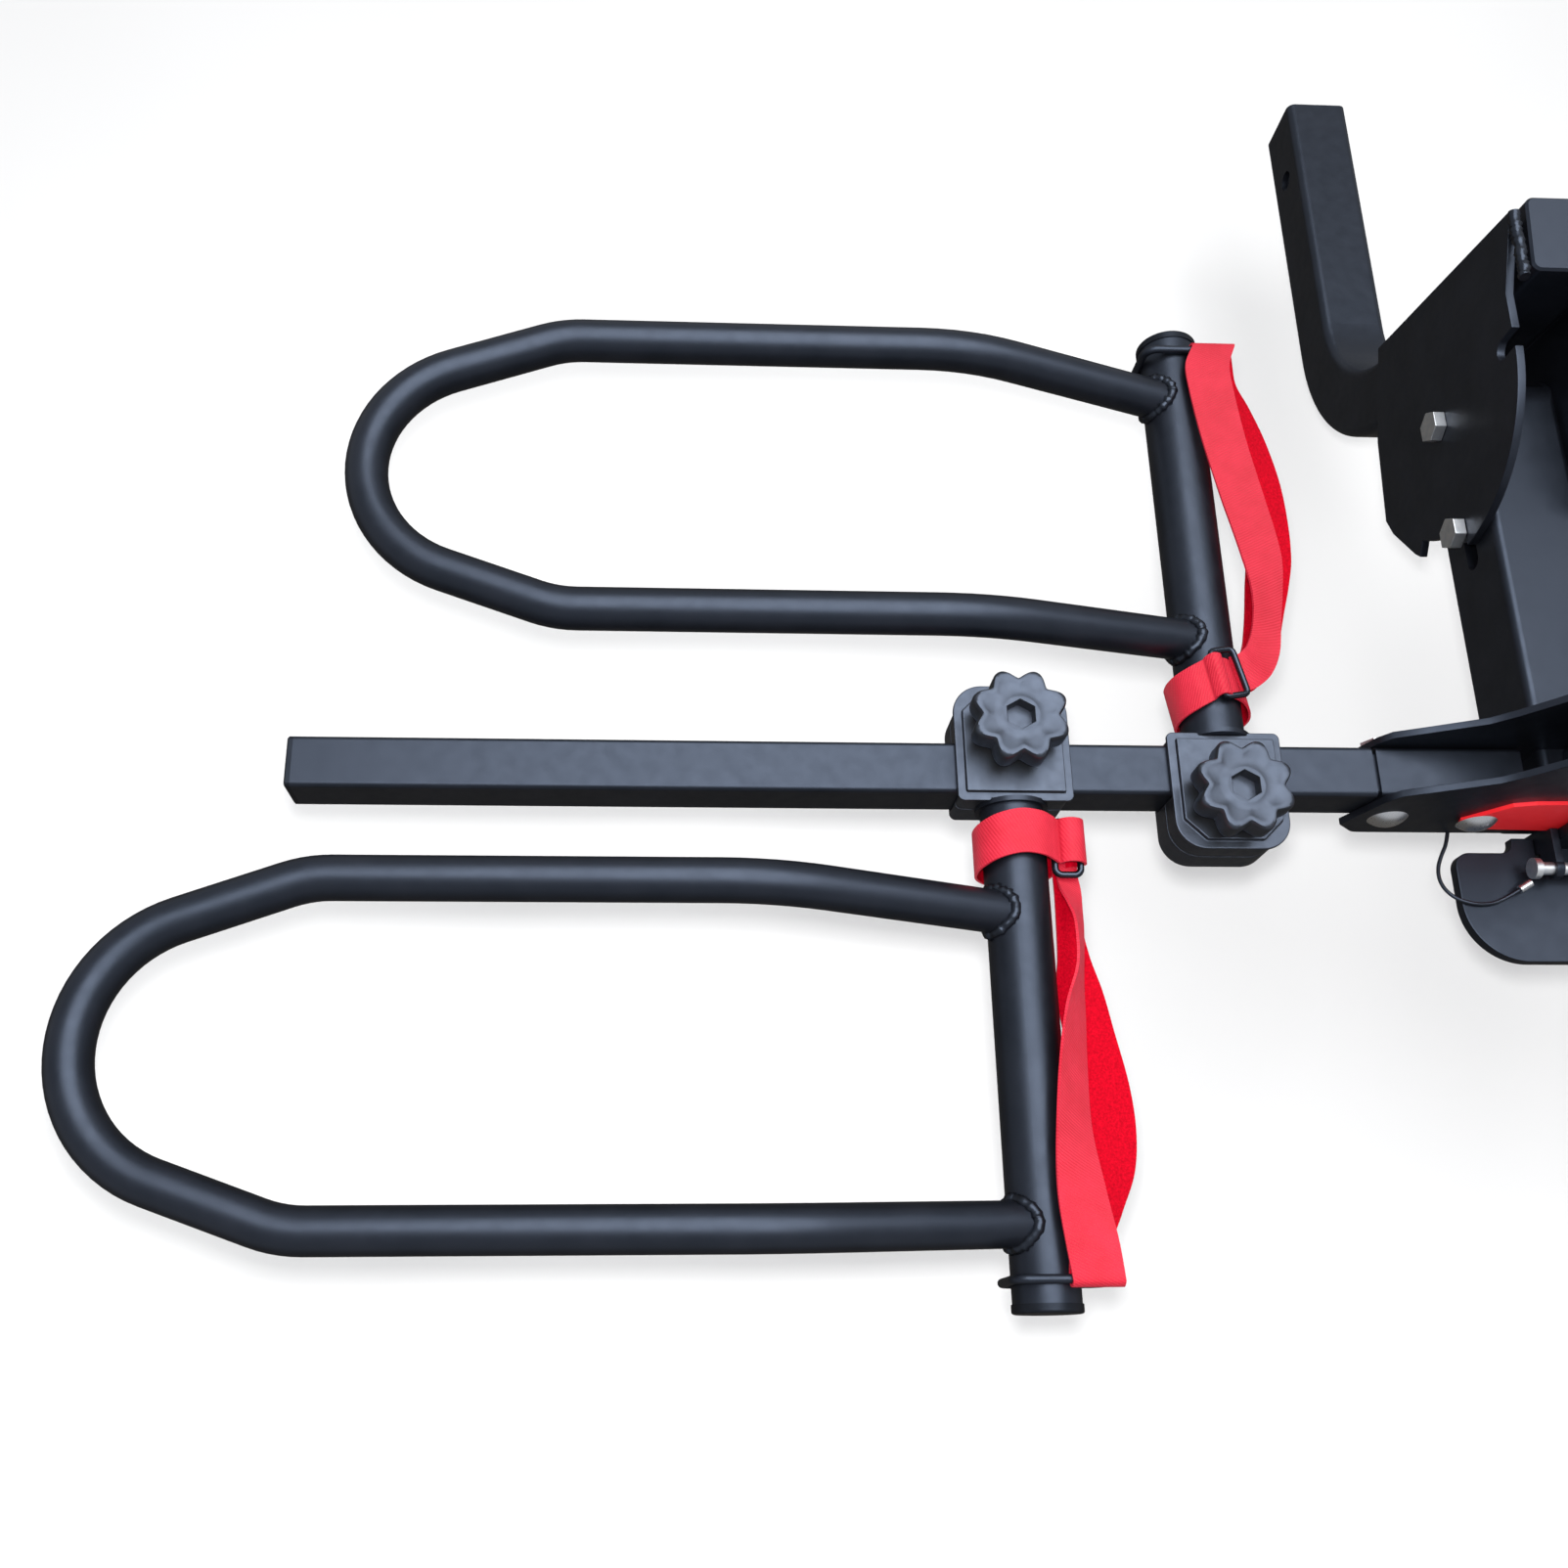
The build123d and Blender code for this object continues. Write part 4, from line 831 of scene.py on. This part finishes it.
def tape(name, line, halves, carrier):
    """A closed woven tape: a grid along its line, given a thickness and its two faces."""
    side, row, x = POSTS[carrier]
    centres, edges, length = evenly(line, halves, TAPE_ROWS)
    points, faces, flat = [], [], []
    for i in range(TAPE_ROWS + 1):
        centre, edge = centres[i % TAPE_ROWS], edges[i % TAPE_ROWS]
        for j in range(TAPE_STRIPS + 1):
            along = 2 * j / TAPE_STRIPS - 1
            p = centre + edge * along
            points.append(at(side * (x - p[0]), row * p[1], p[2]))
            flat.append((along * np.linalg.norm(edge) * MM, length * MM * i / TAPE_ROWS))
    next_row = TAPE_STRIPS + 1
    for i in range(TAPE_ROWS):
        for j in range(TAPE_STRIPS):
            a = i * next_row + j
            faces.append((a, a + 1, a + next_row + 1, a + next_row))
    mesh = bpy.data.meshes.new(name)
    mesh.from_pydata(points, [], faces)
    layer = mesh.uv_layers.new(name="tape")
    for corner in mesh.loops:
        layer.data[corner.index].uv = flat[corner.vertex_index]
    piece = bpy.data.objects.new(name, mesh)
    bpy.context.scene.collection.objects.link(piece)
    only(piece)
    bpy.ops.object.mode_set(mode="EDIT")
    bpy.ops.mesh.select_all(action="SELECT")
    bpy.ops.mesh.remove_doubles(threshold=MERGE_DISTANCE)
    bpy.ops.mesh.normals_make_consistent(inside=False)
    bpy.ops.object.mode_set(mode="OBJECT")
    skin = piece.modifiers.new("thickness", "SOLIDIFY")
    skin.thickness = TAPE_THICK * MM
    skin.offset = 0.0
    skin.material_offset = 1
    paint(piece, twill, pile)
    apply_all(piece)
    bpy.ops.object.shade_smooth_by_angle(angle=math.radians(TAPE_SMOOTH_DEGREES))
    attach(piece, carrier + "_carrier")
    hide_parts(carrier + "_wheel_strap")


print("a tape has", TAPE_ROWS, "rows of", TAPE_STRIPS, "faces")

# %% Weave the long loops
LOOP_CURVE_POINTS = 900
for carrier, (side, row, x) in POSTS.items():
    rows = smooth_closed(loop_stations(FRONT_ROW_LOOP if row < 0 else REAR_ROW_LOOP),
                         LOOP_CURVE_POINTS)
    twist, turn = np.radians(rows[:, 4]), np.radians(rows[:, 5])
    halves = (np.stack([np.cos(twist) * np.cos(turn), np.cos(twist) * np.sin(turn),
                        np.sin(twist)], 1) * rows[:, 3:4] / 2)
    tape(carrier + "_strap_loop", rows[:, :3], halves, carrier)
print("wove", len(POSTS), "loops")

# %% [markdown]
# ## Strap collars
# The collar is wider than the post, so it hangs slack to the left, runs over the top, dips
# behind the ring's first bar and folds round the second one. It is drawn in the plane across
# the post and given the tape's width along it. In the rear row it leans a little.

# %% Weave the collars
# x from the post, height, distance out along the post
FRONT_ROW_COLLAR = [
    (-23.4, 3.0, 50), (-21.6, 15.0, 49), (-13.0, 23.8, 46), (0.0, 26.4, 43.5), (12.0, 24.2, 44),
    (19.5, 19.4, 45.5), (23.8, 15.6, 46.5), (26.0, 18.2, 46.5), (30.5, 20.0, 46.5),
    (36.0, 18.6, 46.5), (39.2, 14.0, 46.5), (37.0, 9.8, 46.5), (31.0, 9.6, 47),
    (25.4, 5.8, 48), (22.8, -2.0, 49), (18.0, -11.5, 50), (9.0, -18.4, 50), (-2.0, -19.0, 50),
    (-13.0, -15.6, 50), (-20.6, -7.0, 50)]
REAR_ROW_COLLAR = [
    (-22.8, 4.0, 47.5), (-20.8, 14.5, 48.5), (-14.5, 21.6, 51), (-9.0, 24.0, 53.5),
    (-6.2, 24.6, 55), (-5.0, 27.2, 56), (-1.8, 30.0, 57), (2.0, 29.2, 57), (3.9, 26.4, 57),
    (5.0, 23.6, 57), (9.5, 21.2, 57), (15.5, 16.6, 56), (20.6, 9.0, 54), (22.8, -1.0, 52),
    (18.5, -11.5, 50), (9.0, -18.4, 48), (-2.0, -19.0, 47), (-13.0, -15.6, 47),
    (-20.6, -7.0, 47)]
COLLAR_WIDTH = 27.0
COLLAR_LEAN = {-1: 0.0, 1: -0.16}
COLLAR_CURVE_POINTS = 600

for carrier, (side, row, x) in POSTS.items():
    section = FRONT_ROW_COLLAR if row < 0 else REAR_ROW_COLLAR
    rows = smooth_closed([(cx, out, cz) for cx, cz, out in section], COLLAR_CURVE_POINTS)
    lean = Vector((COLLAR_LEAN[row], 1.0, 0.0)).normalized() * COLLAR_WIDTH / 2
    halves = np.tile(np.array([lean]), (len(rows), 1))
    tape(carrier + "_strap_collar", rows, halves, carrier)
print("wove", len(POSTS), "collars")

# %% [markdown]
# ## Rings of the rear row
# On the rear row the ring has slid up over the post and lies askew on the collar. It is a bent
# wire, so a curve with rounded corners and a round bevel makes it.

# %% Bend the rings
RING_WIRE_R, RING_CORNER_R = 2.0, 3.5
RING_CORNERS = [(-4.6, 73.0, 26.4), (10.2, 76.0, 24.6), (17.0, 46.0, 24.6), (2.2, 43.0, 26.4)]
CORNER_STEPS = (0, 0.25, 0.5, 0.75, 1)


def bent_ring(name, corners, carrier):
    """A closed wire ring through rounded corners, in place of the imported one."""
    side, row, x = POSTS[carrier]
    places = [at(side * (x - cx), row * out, cz) for cx, out, cz in corners]
    points = []
    for before, here, after in zip(places[-1:] + places[:-1], places, places[1:] + places[:1]):
        start = here + (before - here).normalized() * RING_CORNER_R * MM
        end = here + (after - here).normalized() * RING_CORNER_R * MM
        points += [start.lerp(here, t).lerp(here.lerp(end, t), t) for t in CORNER_STEPS]
    drawn = draw_curve(name, points, closed=True)
    stand_in(thicken(drawn, RING_WIRE_R, WIRE_ROUNDING, wire_enamel), carrier + "_strap_buckle")


for carrier, (side, row, x) in POSTS.items():
    if row > 0:
        bent_ring(carrier + "_strap_ring", RING_CORNERS, carrier)
print("bent the rear rings")

# %% [markdown]
# ## The lanyard
# A thin vinyl covered cable keeps the safety pin from being lost. It is a NURBS curve that
# leaves the pin's ferrule and passes under the front bracket plate, so it bends smoothly as
# wire does. A mesh of the bare line is made before the line gets its thickness.

# %% Hang the lanyard
LANYARD_ROUTE = ((-33.5, -60.3, -27.7), (-44.0, -66.5, -30.6), (-54.0, -69.0, -31.2),
                 (-64.5, -68.4, -31.0), (-74.0, -64.0, -32.6), (-79.0, -55.0, -35.4),
                 (-79.0, -44.5, -36.5), (-75.0, -35.0, -36.0), (-71.0, -28.0, -35.3),
                 (-69.0, -20.0, -35.2))
LANYARD_R = 1.2
LANYARD_ORDER = 3
drawn = draw_curve("lanyard", [at(*place) for place in LANYARD_ROUTE], kind="NURBS")
drawn.data.splines[0].order_u = LANYARD_ORDER
drawn.data.splines[0].use_endpoint_u = True
bpy.context.view_layer.update()
bare_line = bpy.data.meshes.new_from_object(drawn)
lanyard = thicken(drawn, LANYARD_R, WIRE_ROUNDING, vinyl)
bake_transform(lanyard)
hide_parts("lanyard_cable")

# %% [markdown]
# ## Floor
# The rack stands before plain white paper. The paper glows very faintly, which keeps it white
# where the light falls off. A black coat mirrors a white floor and turns grey, so the floor is
# left out of reflections. It lies well below the rack, because the platform can tilt down.

# %% Lay the paper floor
FLOOR_DROP, FLOOR_SIZE = 0.135, 60.0
FLOOR_GLOW = 0.15
bpy.ops.object.select_all(action="DESELECT")
bpy.ops.mesh.primitive_plane_add(size=FLOOR_SIZE, location=(0, 0, 0))
floor = bpy.context.object
floor.name = "floor"
floor.data.transform(Matrix.Translation((0, 0, cad_box[0][2] - FLOOR_DROP)))
floor.visible_glossy = False
paper, tree, shader = new_material("matt_white_paper", 0.9, Specular_IOR_Level=0.0,
                                   Emission_Strength=FLOOR_GLOW)
colour_drift(tree, shader, "#c2c2c2", "#c6c6c6", lump_mm=400.0, detail=1.0)
paint(floor, paper)
print("floor", round(FLOOR_DROP / MM), "mm below the rack")

# %% [markdown]
# ## Light
# The picture is lit by one broad soft light from above, so a large area light hangs over the
# rack. A small lamp close to the camera gives the narrow shadow that the picture shows along
# the lower side of every tube, and it is kept out of reflections. A pale world fills the sides
# and is dark below the horizon, as dark boards round a product in a studio are. The plain view
# transform keeps white paper white and the red webbing as strong as it is.

# %% Hang the lights and paint the room
SOFTBOX_PLACE, SOFTBOX_AIM = (-0.1, -0.2, 2.6), (-0.3, -0.6, 0.0)
SOFTBOX_SIZE, SOFTBOX_POWER = 2.6, 105.0
LAMP_ABOVE_LENS, LAMP_SIZE, LAMP_POWER = 0.036, 0.045, 11.5
ROOM_DARK_BELOW, ROOM_PALE_ABOVE = -0.35, -0.1
WORLD_STRENGTH = 0.45


def area_light(name, place, aim, size, power):
    """A square soft white light at a place, turned to face its aim."""
    data = bpy.data.lights.new(name, "AREA")
    data.shape = "SQUARE"
    data.size = size
    data.energy = power
    made = bpy.data.objects.new(name, data)
    way = Vector(aim) - Vector(place)
    facing = way.to_track_quat("-Z", "Y").to_matrix().to_4x4()
    made.matrix_world = Matrix.Translation(Vector(place)) @ facing
    bpy.context.scene.collection.objects.link(made)
    return made


area_light("overhead_softbox", SOFTBOX_PLACE, SOFTBOX_AIM, SOFTBOX_SIZE, SOFTBOX_POWER)
lamp = area_light("lamp_by_the_camera", camera.location + up * LAMP_ABOVE_LENS,
                  camera.location - back, LAMP_SIZE, LAMP_POWER)
lamp.visible_glossy = False
world = bpy.data.worlds.new("pale_room")
world.use_nodes = True
room = world.node_tree
direction = add_node(room, "ShaderNodeTexCoord").outputs["Generated"]
height = add_node(room, "ShaderNodeSeparateXYZ", {"Vector": direction}).outputs["Z"]
paleness = add_node(room, "ShaderNodeMapRange", {
    "Value": height, "From Min": ROOM_DARK_BELOW, "From Max": ROOM_PALE_ABOVE})
walls = add_node(room, "ShaderNodeMix", {
    "Factor": paleness.outputs["Result"], COLOUR_A: hex_colour("#7c7873"),
    COLOUR_B: hex_colour("#f4f6fa")}, data_type="RGBA")
background = room.nodes["Background"]
room.links.new(walls.outputs[COLOUR_RESULT], background.inputs["Color"])
background.inputs["Strength"].default_value = WORLD_STRENGTH
bpy.context.scene.world = world
bpy.context.scene.view_settings.view_transform = "Standard"
print("two lights of", SOFTBOX_POWER, "and", LAMP_POWER, "watts")
